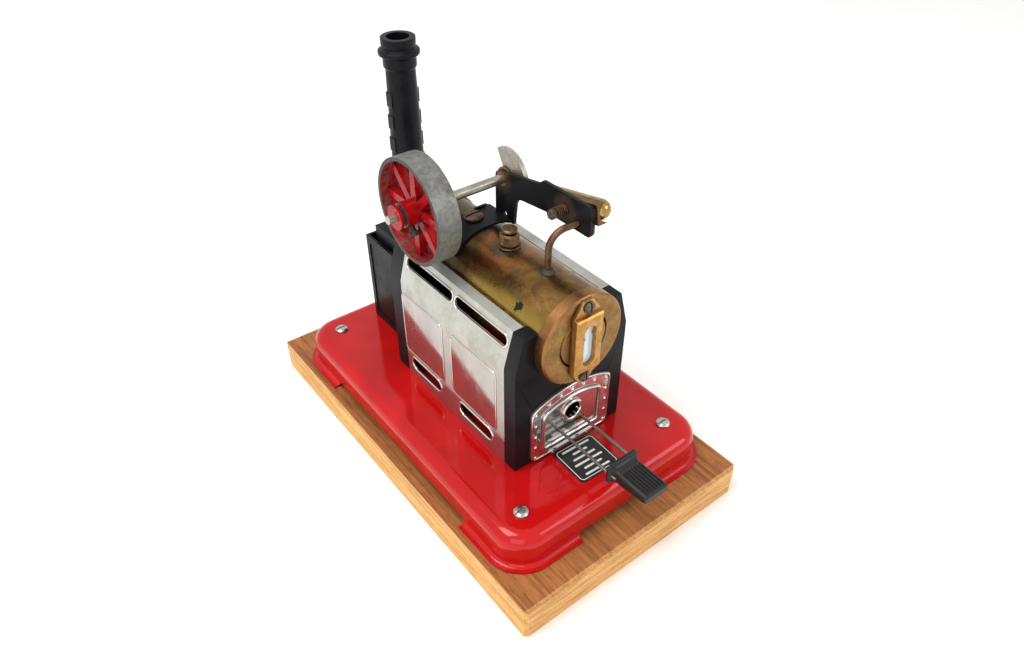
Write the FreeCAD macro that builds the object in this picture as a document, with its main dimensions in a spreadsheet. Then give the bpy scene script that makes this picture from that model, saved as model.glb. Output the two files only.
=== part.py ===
import FreeCAD, Part
import Sketcher
import math
import os
import re

# Model steam engine: a spirit-fired boiler with an oscillating cylinder, on a pressed base and a board.
# Frame: millimetres, origin at the centre of the board's underside, +Z up.
# -Y is the front, with the burner and the sight glass. +Y is the chimney end. -X is the flywheel side.

os.makedirs("parts", exist_ok=True)
doc = FreeCAD.newDocument("SteamEngine")
sheet = doc.addObject("Spreadsheet::Sheet", "Sheet")

DIMENSIONS = {
    # wooden board and pressed base
    "board_wide": 140.0, "board_long": 237.5, "board_thick": 19.0, "board_edge": 1.6,
    "base_top": 38.4, "base_wide": 126.0, "base_long": 204.2, "base_corner": 16.5, "base_shoulder": 7.0,
    "base_sheet": 0.9, "foot_wide": 133.0, "foot_long": 211.2, "foot_corner": 20.0, "foot_thick": 1.2,
    "notch_long": 125.0, "notch_wide": 50.0, "notch_gap": 3.8, "notch_round": 3.5, "foot_flare": 2.2,
    "screw_across": 93.4, "screw_along": 171.2, "screw_shank": 1.75, "screw_hole": 2.1,
    "screw_head": 3.6, "screw_rise": 1.9, "screw_bite": 12.0, "slot_wide": 0.9, "slot_deep": 0.9,
    # firebox
    "box_half": 33.8, "box_crease": 98.9, "box_brow": 28.6, "box_top": 117.65, "end_wall": 2.2,
    "front_face": 64.5, "front_depth": 8.1, "rear_face": 40.9, "rear_depth": 10.3,
    "door_half": 22.5, "door_side": 68.0, "door_top": 73.5, "flue_half": 11.0, "flue_low": 56.0,
    "flue_high": 76.0, "panel_sheet": 0.8, "panel_flange": 5.6, "panel_gap": 0.1,
    "emboss_thick": 0.45, "emboss_low": 54.5, "emboss_high": 92.0, "emboss_long": 37.0,
    "emboss_front": -32.0, "emboss_rear": 12.0,
    "vent_low": 44.7, "vent_high": 51.6, "vent_long": 27.5, "vent_front": -33.0, "vent_rear": 11.5,
    "louvre_high": 5.4, "louvre_long": 40.0, "louvre_front": -34.5, "louvre_rear": 7.6,
    "louvre_level": 111.0, "lip_round": 0.7, "emboss_round": 3.0, "vent_rim": 0.3, "rim_band": 1.5,
    # boiler
    "boiler_level": 107.8, "boiler_round": 22.9, "boiler_wall": 0.6, "boiler_front": 68.4, "cap_start": 64.55,
    "cap_round": 23.6, "cap_face": 70.8, "cap_bead": 13.5, "boiler_rear": 45.4, "rear_cap_start": 40.95,
    "rear_cap_face": 47.7, "cap_sheet": 0.65,
    # sight glass
    "glass_wide": 15.6, "glass_tall": 31.0, "glass_raise": 4.2, "glass_flange": 1.2, "glass_reach": 23.2,
    "glass_tab": 2.7, "glass_screw_reach": 19.6, "glass_screw_head": 2.8, "glass_screw_shank": 1.1,
    "gasket_thick": 0.6, "window_half": 3.5, "window_low": 96.0, "window_waist": 110.2, "window_high": 118.2,
    "pane_wide": 10.4, "pane_tall": 26.0, "pane_thick": 1.2,
    # chimney
    "flue_box_half": 22.3, "flue_box_rear": 87.0, "flue_box_top": 94.5, "flue_box_wall": 1.5,
    "block_half": 19.0, "block_front": 50.0, "block_rear": 80.6, "block_top": 102.4, "ledge": 84.0,
    "stack_along": 70.5, "stack_top": 205.0, "stack_foot": 9.3, "stack_mid": 8.35, "stack_neck": 7.45,
    "stack_rim": 8.55, "stack_bead": 10.25, "stack_collar": 8.3, "stack_bore": 5.6,
    "pad_top": 178.7, "pad_pitch": 11.8, "pad_high": 7.6, "pad_wide": 5.0, "pad_raise": 0.5,
    # steam fittings
    "valve_along": -16.9, "valve_foot": 130.4, "valve_round": 4.75, "valve_body": 137.8, "valve_top": 140.3,
    "valve_cap": 3.9, "valve_stem": 1.0, "valve_lift": 1.5, "valve_tail": 8.0, "pipe_along": -45.0,
    "pipe_round": 1.59, "pipe_level": 150.7, "pipe_bend": 9.5, "pipe_swing": 14.0, "pipe_rise": 0.133,
    "steam_port": 0.9,
    # engine frame and crankshaft
    "plate_face": 13.0, "plate_thick": 1.6, "saddle_front": 2.0, "saddle_rear": 18.5, "saddle_sheet": 1.2,
    "saddle_wrap": 50.0, "upright_front": -3.4, "upright_rear": 11.0, "frame_screw_across": 0.4,
    "frame_screw_along": 12.6, "left_plate": -19.6, "shaft_along": 6.0, "shaft_level": 151.6,
    "shaft_round": 2.38, "shaft_left": -50.6, "shaft_right": 18.3, "seat_round": 2.1, "seat_chamfer": 0.4, "seat_long": 3.5,
    "bush_round": 3.6, "bush_flange": 5.5, "bush_lip": 1.0,
    "running_gap": 0.05, "fit_gap": 0.02, "web_left": 15.8, "web_right": 18.3, "web_round": 14.6,
    "fan_angle": 131.0, "web_hub": 5.0, "arm_wide": 5.6, "crank_throw": 8.5, "crank_lean": -53.4,
    "pin_round": 1.2, "pin_end": 20.2,
    # flywheel
    "wheel_outer": -39.8, "wheel_inner": -28.0, "wheel_round": 25.5, "rim_inner": 23.6, "hub_round": 5.9,
    "hub_outer": -46.6, "groove_round": 4.6, "groove_wide": 1.6, "belt_flange": 1.5,
    "rib_inner": 22.0, "rib_wide": 1.7, "spoke_hub": 4.4, "spoke_tip": 3.4, "spoke_thick": 4.6,
    "set_screw_across": -40.2, "set_screw_angle": -125.0, "set_neck": 1.3, "set_head": 2.7, "set_rise": 8.4,
    "set_top": 10.6,
    # cylinder and piston
    "trunnion_along": -40.0, "trunnion_level": 156.0, "cylinder_side": 21.5, "cylinder_round": 4.75,
    "cylinder_bore": 3.75, "cylinder_back": 24.5, "cylinder_front": 13.6, "cylinder_pitch": 12.37,
    "dome_long": 4.75, "port_plate": 0.9, "block_long": 27.0, "block_high": 9.4, "block_ahead": 18.6,
    "trunnion_round": 1.5, "trunnion_end": 4.4, "nut_across": 5.0, "nut_thick": 2.6, "spring_round": 2.55,
    "spring_wire": 0.5, "piston_round": 3.7, "piston_front": 1.5, "piston_long": 8.0, "rod_round": 1.0,
    "eye_round": 2.5, "eye_thick": 2.0, "pin_distance": 52.26,
    # burner
    "burner_face": 65.8, "burner_back": 64.6, "burner_half": 25.0, "burner_low": 39.4, "burner_side": 72.0,
    "burner_top": 78.4, "burner_round": 4.0, "rim_raise": 0.8, "rim_wide": 1.3, "rim_half": 18.4,
    "rim_low": 45.0, "rim_side": 67.5, "rim_top": 72.0, "rim_round": 2.5, "ledge_left": -15.5,
    "ledge_right": 12.0, "ledge_low": 42.7, "ledge_high": 44.3, "ledge_reach": 3.4, "rivet_half": 22.3,
    "rivet_low": 41.5, "rivet_pitch": 7.1, "rivet_top": 74.6,
    "hole_level": 61.5, "hole_round": 4.6, "hole_ring": 6.5, "slit_level": 52.0,
    "slit_half": 8.9, "slit_high": 2.0, "tray_half": 19.0, "tray_long": 58.0, "tray_low": 39.6,
    "tray_high": 47.0, "tray_sheet": 0.8, "wire_round": 0.8, "wire_half": 7.6, "wire_back": 57.0,
    "wire_front": 106.0, "wire_level": 52.0, "grip_front": 124.5, "grip_back": 101.0, "grip_half": 7.3,
    "grip_top": 55.6, "grip_low": 48.6, "grip_front_low": 50.8, "collar_half": 9.4, "collar_round": 2.5,
    "collar_long": 2.4, "collar_top": 58.4,
    "collar_low": 46.4, "label_wide": 24.4, "label_long": 23.0, "label_along": -79.2, "label_thick": 0.6,
    "label_round": 2.0,
}


def fill_sheet():
    for row, (name, value) in enumerate(DIMENSIONS.items(), start=1):
        sheet.set(f"A{row}", name)
        sheet.set(f"B{row}", str(value))
        sheet.setAlias(f"B{row}", name)
    doc.recompute()


def size(name):
    return float(getattr(sheet, name))


def formula(text):
    """Turn dimension names in an expression into references to the sheet's cells."""
    return re.sub(r"[a-z][a-z_]*", lambda found: "Sheet." + found.group() if found.group() in DIMENSIONS
                  else found.group(), str(text))


def bind(item, **properties):
    for name, text in properties.items():
        item.setExpression(name, formula(text))
    return item


def put(item, x="0", y="0", z="0", axis=None, angle=0):
    """Turn an item about its own origin, then bind its position to the sheet."""
    if axis:
        item.Placement = FreeCAD.Placement(FreeCAD.Vector(0, 0, 0), FreeCAD.Rotation(axis, angle))
    for letter, text in (("x", x), ("y", y), ("z", z)):
        item.setExpression(f"Placement.Base.{letter}", formula(text))
    return item


X_AXIS = FreeCAD.Vector(1, 0, 0)
Y_AXIS = FreeCAD.Vector(0, 1, 0)
Z_AXIS = FreeCAD.Vector(0, 0, 1)
YZ_TURN = FreeCAD.Rotation(Y_AXIS, Z_AXIS, X_AXIS, "XYZ")
SPOKES = 8
PADS = 5
SADDLE_TOP = "(boiler_level + boiler_round + running_gap + saddle_sheet)"
BLOCK_FACE = "(plate_face + plate_thick + port_plate + running_gap)"


# ---- plain solids and booleans -------------------------------------------------------------------

def box(name, long, wide, high, x, y, z, axis=None, angle=0):
    item = bind(doc.addObject("Part::Box", name), Length=long, Width=wide, Height=high)
    return put(item, x, y, z, axis, angle)


def rod(name, radius, length, x, y, z, axis=None, angle=0):
    item = bind(doc.addObject("Part::Cylinder", name), Radius=radius, Height=length)
    return put(item, x, y, z, axis, angle)


def join(name, *pieces):
    item = doc.addObject("Part::MultiFuse", name)
    item.Shapes = list(pieces)
    return item


def cut(name, base, *tools):
    """Cut each tool out of the base. The last cut takes the name."""
    for number, tool in enumerate(tools, start=1):
        step = doc.addObject("Part::Cut", name if number == len(tools) else f"{name}_cut{number}")
        step.Base = base
        step.Tool = tool
        base = step
    return base


def group(name, pieces):
    item = doc.addObject("Part::Compound", name)
    item.Links = list(pieces)
    return item


# ---- sketched solids -----------------------------------------------------------------------------

def new_sketch(body, name, role, offset="0"):
    sketch = body.newObject("Sketcher::SketchObject", name)
    plane = next(part for part in body.Origin.OriginFeatures if part.Role == role)
    sketch.AttachmentSupport = [(plane, "")]
    sketch.MapMode = "FlatFace"
    sketch.setExpression("AttachmentOffset.Base.z", formula(offset))
    return sketch


def value(text):
    """Work out an expression of dimension names."""
    return float(sheet.evalExpression(formula(text)))


def pin_point(sketch, line, point, x, y):
    """Fix one end or centre of a sketch element at two bound distances from the origin."""
    for kind, text in (("DistanceX", x), ("DistanceY", y)):
        number = sketch.addConstraint(Sketcher.Constraint(kind, -1, 1, line, point, value(text)))
        sketch.setExpression(f"Constraints[{number}]", formula(text))


def draw_loop(sketch, corners):
    """A closed outline of straight lines with every corner bound to the sheet."""
    spots = [FreeCAD.Vector(value(x), value(y), 0) for x, y in corners]
    lines = []
    for number, spot in enumerate(spots):
        following = spots[(number + 1) % len(spots)]
        lines.append(sketch.addGeometry(Part.LineSegment(spot, following), False))
    for number, line in enumerate(lines):
        following = lines[(number + 1) % len(lines)]
        sketch.addConstraint(Sketcher.Constraint("Coincident", line, 2, following, 1))
        pin_point(sketch, line, 1, *corners[number])


def draw_circle(sketch, x, y, radius):
    spot = FreeCAD.Vector(value(x), value(y), 0)
    circle = sketch.addGeometry(Part.Circle(spot, Z_AXIS, value(radius)), False)
    pin_point(sketch, circle, 3, x, y)
    number = sketch.addConstraint(Sketcher.Constraint("Radius", circle, value(radius)))
    sketch.setExpression(f"Constraints[{number}]", formula(radius))


def pad(body, sketch, length):
    feature = body.newObject("PartDesign::Pad", sketch.Name + "_pad")
    feature.Profile = sketch
    bind(feature, Length=length)
    return feature


def pocket(body, sketch, length):
    before = body.Shape.Volume
    feature = body.newObject("PartDesign::Pocket", sketch.Name + "_pocket")
    feature.Profile = sketch
    bind(feature, Length=length)
    doc.recompute()
    if body.Shape.Volume > before - 0.01:
        raise RuntimeError("nothing was cut by " + feature.Name)
    return feature


def edges_where(body, wanted):
    return [f"Edge{number}" for number, edge in enumerate(body.Shape.Edges, start=1) if wanted(edge)]


def fillet(body, radius, wanted, kind="Fillet"):
    """Round (or chamfer) the edges that a test picks out, with a bound size."""
    doc.recompute()
    names = edges_where(body, wanted)
    feature = body.newObject("PartDesign::" + kind, f"{body.Name}_{kind.lower()}{len(body.Group)}")
    feature.Base = (body.Group[-2] if body.Group[-1] is feature else body.Tip, names)
    bind(feature, **{"Radius" if kind == "Fillet" else "Size": radius})
    body.Tip = feature
    doc.recompute()
    return feature


def flat_edge(axis, level):
    """A test for edges that lie in the plane where the given coordinate has this value."""
    def test(edge):
        return all(abs(getattr(vertex.Point, axis) - level) < 1e-4 for vertex in edge.Vertexes)
    return test


def edge_along(axis):
    """A test for straight edges that run along one axis."""
    def test(edge):
        if len(edge.Vertexes) < 2:
            return False
        run = edge.Vertexes[1].Point - edge.Vertexes[0].Point
        return edge.Curve.TypeId == "Part::GeomLine" and abs(abs(run.dot(axis)) - run.Length) < 1e-4
    return test


def draw_arched(sketch, half, low, side, top):
    """An upright outline: a sill, two straight sides and one arc over them."""
    corners = [(f"-({half})", side), (f"-({half})", low), (half, low), (half, side)]
    spots = [FreeCAD.Vector(value(x), value(y), 0) for x, y in corners]
    lines = [sketch.addGeometry(Part.LineSegment(spots[number], spots[number + 1]), False)
             for number in range(3)]
    crown = FreeCAD.Vector(0, value(top), 0)
    arc = sketch.addGeometry(Part.Arc(spots[3], crown, spots[0]), False)
    for first, second in zip(lines + [arc], lines[1:] + [arc, lines[0]]):
        sketch.addConstraint(Sketcher.Constraint("Coincident", first, 2, second, 1))
    for line, corner in zip(lines, corners):
        pin_point(sketch, line, 1, *corner)
    pin_point(sketch, lines[2], 2, *corners[3])
    centre = f"{top} - (({half})^2 + ({top} - ({side}))^2) / (2 * ({top} - ({side})))"
    number = sketch.addConstraint(Sketcher.Constraint("DistanceY", -1, 1, arc, 3, value(centre)))
    sketch.setExpression(f"Constraints[{number}]", formula(centre))


def plate(name, role, corners, thick, offset="0"):
    """A body made by padding one closed outline. A corner's third number is its radius."""
    body = doc.addObject("PartDesign::Body", name)
    sketch = new_sketch(body, name + "_outline", role, offset)
    draw_loop(sketch, [corner[:2] for corner in corners])
    pad(body, sketch, thick)
    doc.recompute()
    for corner in corners:
        if len(corner) == 3:
            fillet(body, corner[2], edge_across(role, *corner[:2]))
    return body


def turned(name, corners, x="0", y="0", z="0", axis=None, angle=0):
    """A body turned about its own Z axis from an outline of (radius, height) corners."""
    body = doc.addObject("PartDesign::Body", name)
    sketch = new_sketch(body, name + "_outline", "XZ_Plane")
    draw_loop(sketch, corners)
    feature = body.newObject("PartDesign::Revolution", name + "_turning")
    feature.Profile = sketch
    feature.ReferenceAxis = (sketch, ["V_Axis"])
    feature.Angle = 360
    doc.recompute()
    return put(body, x, y, z, axis, angle)


ALONG_X = dict(axis=Y_AXIS, angle=90)
ALONG_MINUS_X = dict(axis=Y_AXIS, angle=-90)
ALONG_Y = dict(axis=X_AXIS, angle=-90)
ALONG_MINUS_Y = dict(axis=X_AXIS, angle=90)


def edge_across(role, first, second):
    """A test for the edge that crosses a plate at one corner of its outline."""
    letters = role[:2].lower()
    place = value(first), value(second)

    def test(edge):
        return all(abs(getattr(vertex.Point, letter) - level) < 1e-3
                   for vertex in edge.Vertexes for letter, level in zip(letters, place))
    return test


def arched(name, half, low, side, top, corner, thick, offset):
    """A body with an arched top and rounded corners, standing across the engine."""
    body = doc.addObject("PartDesign::Body", name)
    sketch = new_sketch(body, name + "_outline", "XZ_Plane", offset)
    draw_arched(sketch, half, low, side, top)
    pad(body, sketch, thick)
    fillet(body, corner, edge_along(Y_AXIS))
    return body


def slab_corners(wide, long):
    """The corners of a rectangle about the origin."""
    return [(f"{side} * {wide} / 2", f"{end} * {long} / 2")
            for side, end in ((-1, -1), (1, -1), (1, 1), (-1, 1))]


def upright_rectangle(low_x, high_x, low_z, high_z, corner):
    """The corners of a rectangle that stands upright, each with the same radius."""
    return [(x, z, corner) for x, z in ((low_x, low_z), (high_x, low_z), (high_x, high_z), (low_x, high_z))]


def rounded_slab(name, wide, long, corner, low, thick, shoulder=None):
    """A rounded rectangle standing on the level `low`, with an optional rounded top edge."""
    body = plate(name, "XY_Plane", slab_corners(wide, long), thick, offset=low)
    fillet(body, corner, edge_along(Z_AXIS))
    if shoulder:
        top = max(vertex.Z for vertex in body.Shape.Vertexes)
        fillet(body, shoulder, flat_edge("z", top))
    return body


fill_sheet()

NODES = {}


def node(name, item):
    item.Label = name
    NODES[name] = item
    return item


# ---- board and base ------------------------------------------------------------------------------

def corners_of(across, along):
    """The four places that lie symmetrically about the middle."""
    return [(f"{side} * {across} / 2", f"{end} * {along} / 2") for side in (-1, 1) for end in (-1, 1)]


def lozenge(name, deep, x, y, z, long, high):
    """A bar that points along X, with a section that is long in Y and has round ends."""
    bar = box(f"{name}_bar", deep, f"{long} - ({high})", high, x, f"{y} - ({long} - ({high})) / 2",
              f"{z} - ({high}) / 2")
    ends = [rod(f"{name}_end{number}", f"({high}) / 2", deep, x, f"{y} + {way} * ({long} - ({high})) / 2", z,
                **ALONG_X) for number, way in enumerate((-1, 1))]
    return join(name, bar, *ends)


def coil(name, inner, outer, long, turns):
    """A closed spring wire about the origin's Z axis, from z = 0."""
    wire_round = (outer - inner) / 2
    middle = (outer + inner) / 2
    rise = long - 2 * wire_round
    helix = Part.makeHelix(rise / turns, rise, middle)
    helix.translate(Z_AXIS * wire_round)
    section = Part.Wire(Part.Circle(FreeCAD.Vector(middle, 0, wire_round), Y_AXIS, wire_round).toShape())
    item = doc.addObject("Part::Feature", name)
    item.Shape = Part.Wire(helix).makePipeShell([section], True, True)
    return item


def make_board():
    body = plate("wooden_board", "XY_Plane", slab_corners("board_wide", "board_long"), "board_thick")
    holes = new_sketch(body, "pilot_holes", "XY_Plane", "board_thick")
    for x, y in corners_of("screw_across", "screw_along"):
        draw_circle(holes, x, y, "screw_shank + fit_gap")
    pocket(body, holes, "screw_bite + 1")
    front = -size("board_long") / 2
    fillet(body, "board_edge", lambda edge: flat_edge("y", front)(edge)
           and not flat_edge("z", 0)(edge), kind="Chamfer")
    node("wooden_board", body)


def make_base():
    """A deep-drawn tray: walls with a round shoulder, flared feet at the corners, and gaps between them."""
    shell = rounded_slab("base_shell", "base_wide", "base_long", "base_corner", "board_thick",
                         "base_top - board_thick", "base_shoulder")
    foot = rounded_slab("base_foot", "foot_wide", "foot_long", "foot_corner", "board_thick", "foot_thick")
    hollow = rounded_slab("base_hollow", "(base_wide - 2 * base_sheet)", "(base_long - 2 * base_sheet)",
                          "base_corner - base_sheet", "board_thick - 1",
                          "base_top - board_thick + 1 - base_sheet", "base_shoulder - base_sheet")
    solid = join("base_solid", shell, foot)
    doc.recompute()
    level, reach = value("board_thick + foot_thick"), value("base_wide / 2 + 0.1")
    far = value("base_long / 2 + 0.1")
    flared = doc.addObject("Part::Fillet", "base_flared")
    flared.Base = solid
    flared.Edges = [(number, size("foot_flare"), size("foot_flare"))
                    for number, edge in enumerate(solid.Shape.Edges, start=1) if flat_edge("z", level)(edge)
                    and all(abs(vertex.X) < reach and abs(vertex.Y) < far for vertex in edge.Vertexes)]
    gaps = []
    for name, role, half, run in (("base_side_gap", "YZ_Plane", "notch_long / 2", "board_wide"),
                                  ("base_end_gap", "XZ_Plane", "notch_wide / 2", "board_long")):
        outline = [(f"-{half}", "board_thick - 1"), (half, "board_thick - 1"),
                   (half, "board_thick + notch_gap", "notch_round"),
                   (f"-{half}", "board_thick + notch_gap", "notch_round")]
        gaps.append(plate(name, role, outline, run, offset=f"-{run} / 2"))
    holes = [rod(f"base_hole{number}", "screw_hole", "4", x, y, "base_top - 2")
             for number, (x, y) in enumerate(corners_of("screw_across", "screw_along"))]
    node("base_plate", cut("base_plate", flared, hollow, *gaps, *holes))


def make_base_screws():
    bite = "board_thick - base_top - screw_bite"
    outline = [("0", bite), ("screw_shank", bite), ("screw_shank", "0"), ("screw_head", "0"),
               ("screw_head", "0.45 * screw_rise"), ("0.72 * screw_head", "0.86 * screw_rise"),
               ("0", "screw_rise")]
    screws = []
    for number, (x, y) in enumerate(corners_of("screw_across", "screw_along")):
        blank = turned(f"base_screw{number}_blank", outline, x, y, "base_top")
        slot = box(f"base_screw{number}_slot", "2 * screw_head + 2", "slot_wide", "slot_deep + 1",
                   f"{x} - screw_head - 1", f"{y} - slot_wide / 2", "base_top + screw_rise - slot_deep")
        screws.append(cut(f"base_screw{number}", blank, slot))
    node("base_screws", group("base_screws", screws))


# ---- firebox -------------------------------------------------------------------------------------

def end_outline(inset, foot="base_top"):
    """The end plate's outline seen from the front, moved inward by a wall thickness."""
    half, brow, top = f"(box_half - {inset})", f"(box_brow - {inset})", f"box_top - {inset}"
    return [(f"-{half}", foot), (half, foot), (half, "box_crease"), (brow, top), (f"-{brow}", top),
            (f"-{half}", "box_crease")]


def make_front_end():
    """A cast end with a cradle for the boiler, a doorway for the burner and two posts at its sides."""
    block = plate("front_end_block", "XZ_Plane", end_outline("0"), "front_depth",
                  offset="front_face - front_depth")
    hollow = plate("front_end_hollow", "XZ_Plane", end_outline("end_wall", "base_top - 1"), "front_depth",
                   offset="front_face - front_depth - end_wall")
    cradle = rod("front_cradle", "boiler_round + running_gap", "front_depth + 4", "0", "-front_face - 2",
                 "boiler_level", **ALONG_Y)
    doorway = arched("doorway", "door_half", "base_top - 10", "door_side", "door_top", "3", "10",
                     "front_face - 8")
    node("firebox_front_end", cut("firebox_front_end", block, hollow, cradle, doorway))


def make_rear_end():
    block = plate("rear_end_block", "XZ_Plane", end_outline("0"), "rear_depth", offset="-rear_face")
    hollow = plate("rear_end_hollow", "XZ_Plane", end_outline("end_wall", "base_top - 1"), "rear_depth",
                   offset="-rear_face + end_wall")
    cradle = rod("rear_cradle", "boiler_round + running_gap", "rear_depth + 4", "0",
                 "rear_face - rear_depth - 2", "boiler_level", **ALONG_Y)
    flue = box("rear_flue", "2 * flue_half", "end_wall + 4", "flue_high - flue_low", "-flue_half",
               "rear_face - end_wall - 2", "flue_low")
    node("firebox_rear_end", cut("firebox_rear_end", block, hollow, cradle, flue))


def make_side_panel(name, side):
    """A bright folded panel: upright, leaning in above the crease, then turned in towards the boiler."""
    outer, brow, sheet_thick = f"{side} * box_half", f"{side} * box_brow", f"{side} * panel_sheet"
    fold = f"{brow} - {side} * panel_flange"
    outline = [(outer, "base_top"), (outer, "box_crease"), (brow, "box_top"), (fold, "box_top"),
               (fold, "box_top - panel_sheet"), (f"{brow} - {sheet_thick}", "box_top - panel_sheet"),
               (f"{outer} - {sheet_thick}", "box_crease"), (f"{outer} - {sheet_thick}", "base_top")]
    front = "front_face - front_depth - panel_gap"
    rear = "rear_face - rear_depth - panel_gap"
    sheet_body = plate(name + "_sheet", "XZ_Plane", outline, f"{front} + {rear}", offset=f"-({rear})")
    vent_level = "(vent_low + vent_high) / 2"
    lip_level = "louvre_level - louvre_high / 2 - lip_round"
    lean = "(box_half - box_brow) * (louvre_level - louvre_high / 2 - box_crease) / (box_top - box_crease)"
    added, removed = [], []
    for number, place in enumerate(("front", "rear")):
        low, high = f"emboss_{place} - emboss_long / 2", f"emboss_{place} + emboss_long / 2"
        added.append(plate(f"{name}_emboss{number}", "YZ_Plane",
                           upright_rectangle(low, high, "emboss_low", "emboss_high", "emboss_round"),
                           "emboss_thick", offset=f"{outer} - {'0' if side > 0 else 'emboss_thick'}"))
        added.append(lozenge(f"{name}_vent_rim{number}", "vent_rim + panel_sheet",
                             f"{outer} - {'panel_sheet' if side > 0 else 'vent_rim'}", f"vent_{place}",
                             vent_level, "vent_long + 2 * rim_band", "(vent_high - vent_low + 2 * rim_band)"))
        removed.append(lozenge(f"{name}_vent{number}", "6", f"{outer} - 3", f"vent_{place}", vent_level,
                               "vent_long", "(vent_high - vent_low)"))
        removed.append(lozenge(f"{name}_louvre{number}", "8", f"{side} * (box_half + box_brow) / 2 - 4",
                               f"louvre_{place}", "louvre_level", "louvre_long", "louvre_high"))
        added.append(rod(f"{name}_louvre_lip{number}", "lip_round", "louvre_long - louvre_high",
                         f"{outer} - {side} * ({lean} + lip_round / 2)",
                         f"louvre_{place} - (louvre_long - louvre_high) / 2", lip_level, **ALONG_Y))
    node(name, cut(name, join(name + "_pressed", sheet_body, *added), *removed))


# ---- boiler and its fittings ---------------------------------------------------------------------

def make_boiler():
    shell = turned("boiler_shell", [("boiler_round - boiler_wall", "0"), ("boiler_round", "0"),
                                    ("boiler_round", "boiler_front + boiler_rear"),
                                    ("boiler_round - boiler_wall", "boiler_front + boiler_rear")],
                   "0", "boiler_rear", "boiler_level", **ALONG_MINUS_Y)
    bush = rod("bush_opening", "valve_round - 1.4", "8", "0", "valve_along", "boiler_level + boiler_round - 5")
    pipe = rod("pipe_opening", "pipe_round + fit_gap", "8", "0", "pipe_along", "boiler_level + boiler_round - 5")
    node("boiler_shell", cut("boiler_shell", shell, bush, pipe))
    skirt, inner = "(cap_face - cap_start)", "cap_round - cap_sheet"
    front = [("0", f"{skirt} - 1.2"), ("cap_bead - 1.2", f"{skirt} - 1.2"), ("cap_bead - 0.6", f"{skirt} - 1.6"),
             ("cap_bead + 0.6", f"{skirt} - 1.2"), (inner, f"{skirt} - 1.2"), (inner, "0"), ("cap_round", "0"),
             ("cap_round", f"{skirt} - 0.9"), ("cap_round - 0.9", skirt), ("cap_bead + 0.6", skirt),
             ("cap_bead", f"{skirt} - 0.7"), ("cap_bead - 0.6", skirt), ("0", skirt)]
    cap = turned("front_cap_pressing", front, "0", "-cap_start", "boiler_level", **ALONG_MINUS_Y)
    tapped = [rod(f"cap_tapping{number}", "glass_screw_shank + 0.01", "8", "0", "-cap_face - 2",
                  f"boiler_level + {way} * glass_screw_reach", **ALONG_Y)
              for number, way in enumerate((-1, 1))]
    node("boiler_front_cap", cut("boiler_front_cap", cap, *tapped))
    depth = "(rear_cap_face - rear_cap_start)"
    rear = [("0", f"{depth} - 1.2"), (inner, f"{depth} - 1.2"), (inner, "0"),
            ("cap_round", "0"), ("cap_round", f"{depth} - 0.9"), ("cap_round - 0.9", depth), ("0", depth)]
    node("boiler_rear_cap", turned("boiler_rear_cap", rear, "0", "rear_cap_start", "boiler_level", **ALONG_Y))


def window_tools(name, deep):
    """Solids of the window's shape: a long slot with a round bulb above it."""
    low, high, bulb = "window_low + window_half", "window_waist", "window_high - window_half"
    start = "-cap_face - 10"
    tools = [rod(f"{name}_end{number}", "window_half", deep, "0", start, level, **ALONG_Y)
             for number, level in enumerate((low, high, bulb))]
    slot = box(name + "_slot", "2 * window_half", deep, f"{high} - ({low})", "-window_half", start, low)
    return join(name, slot, *tools)


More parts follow.
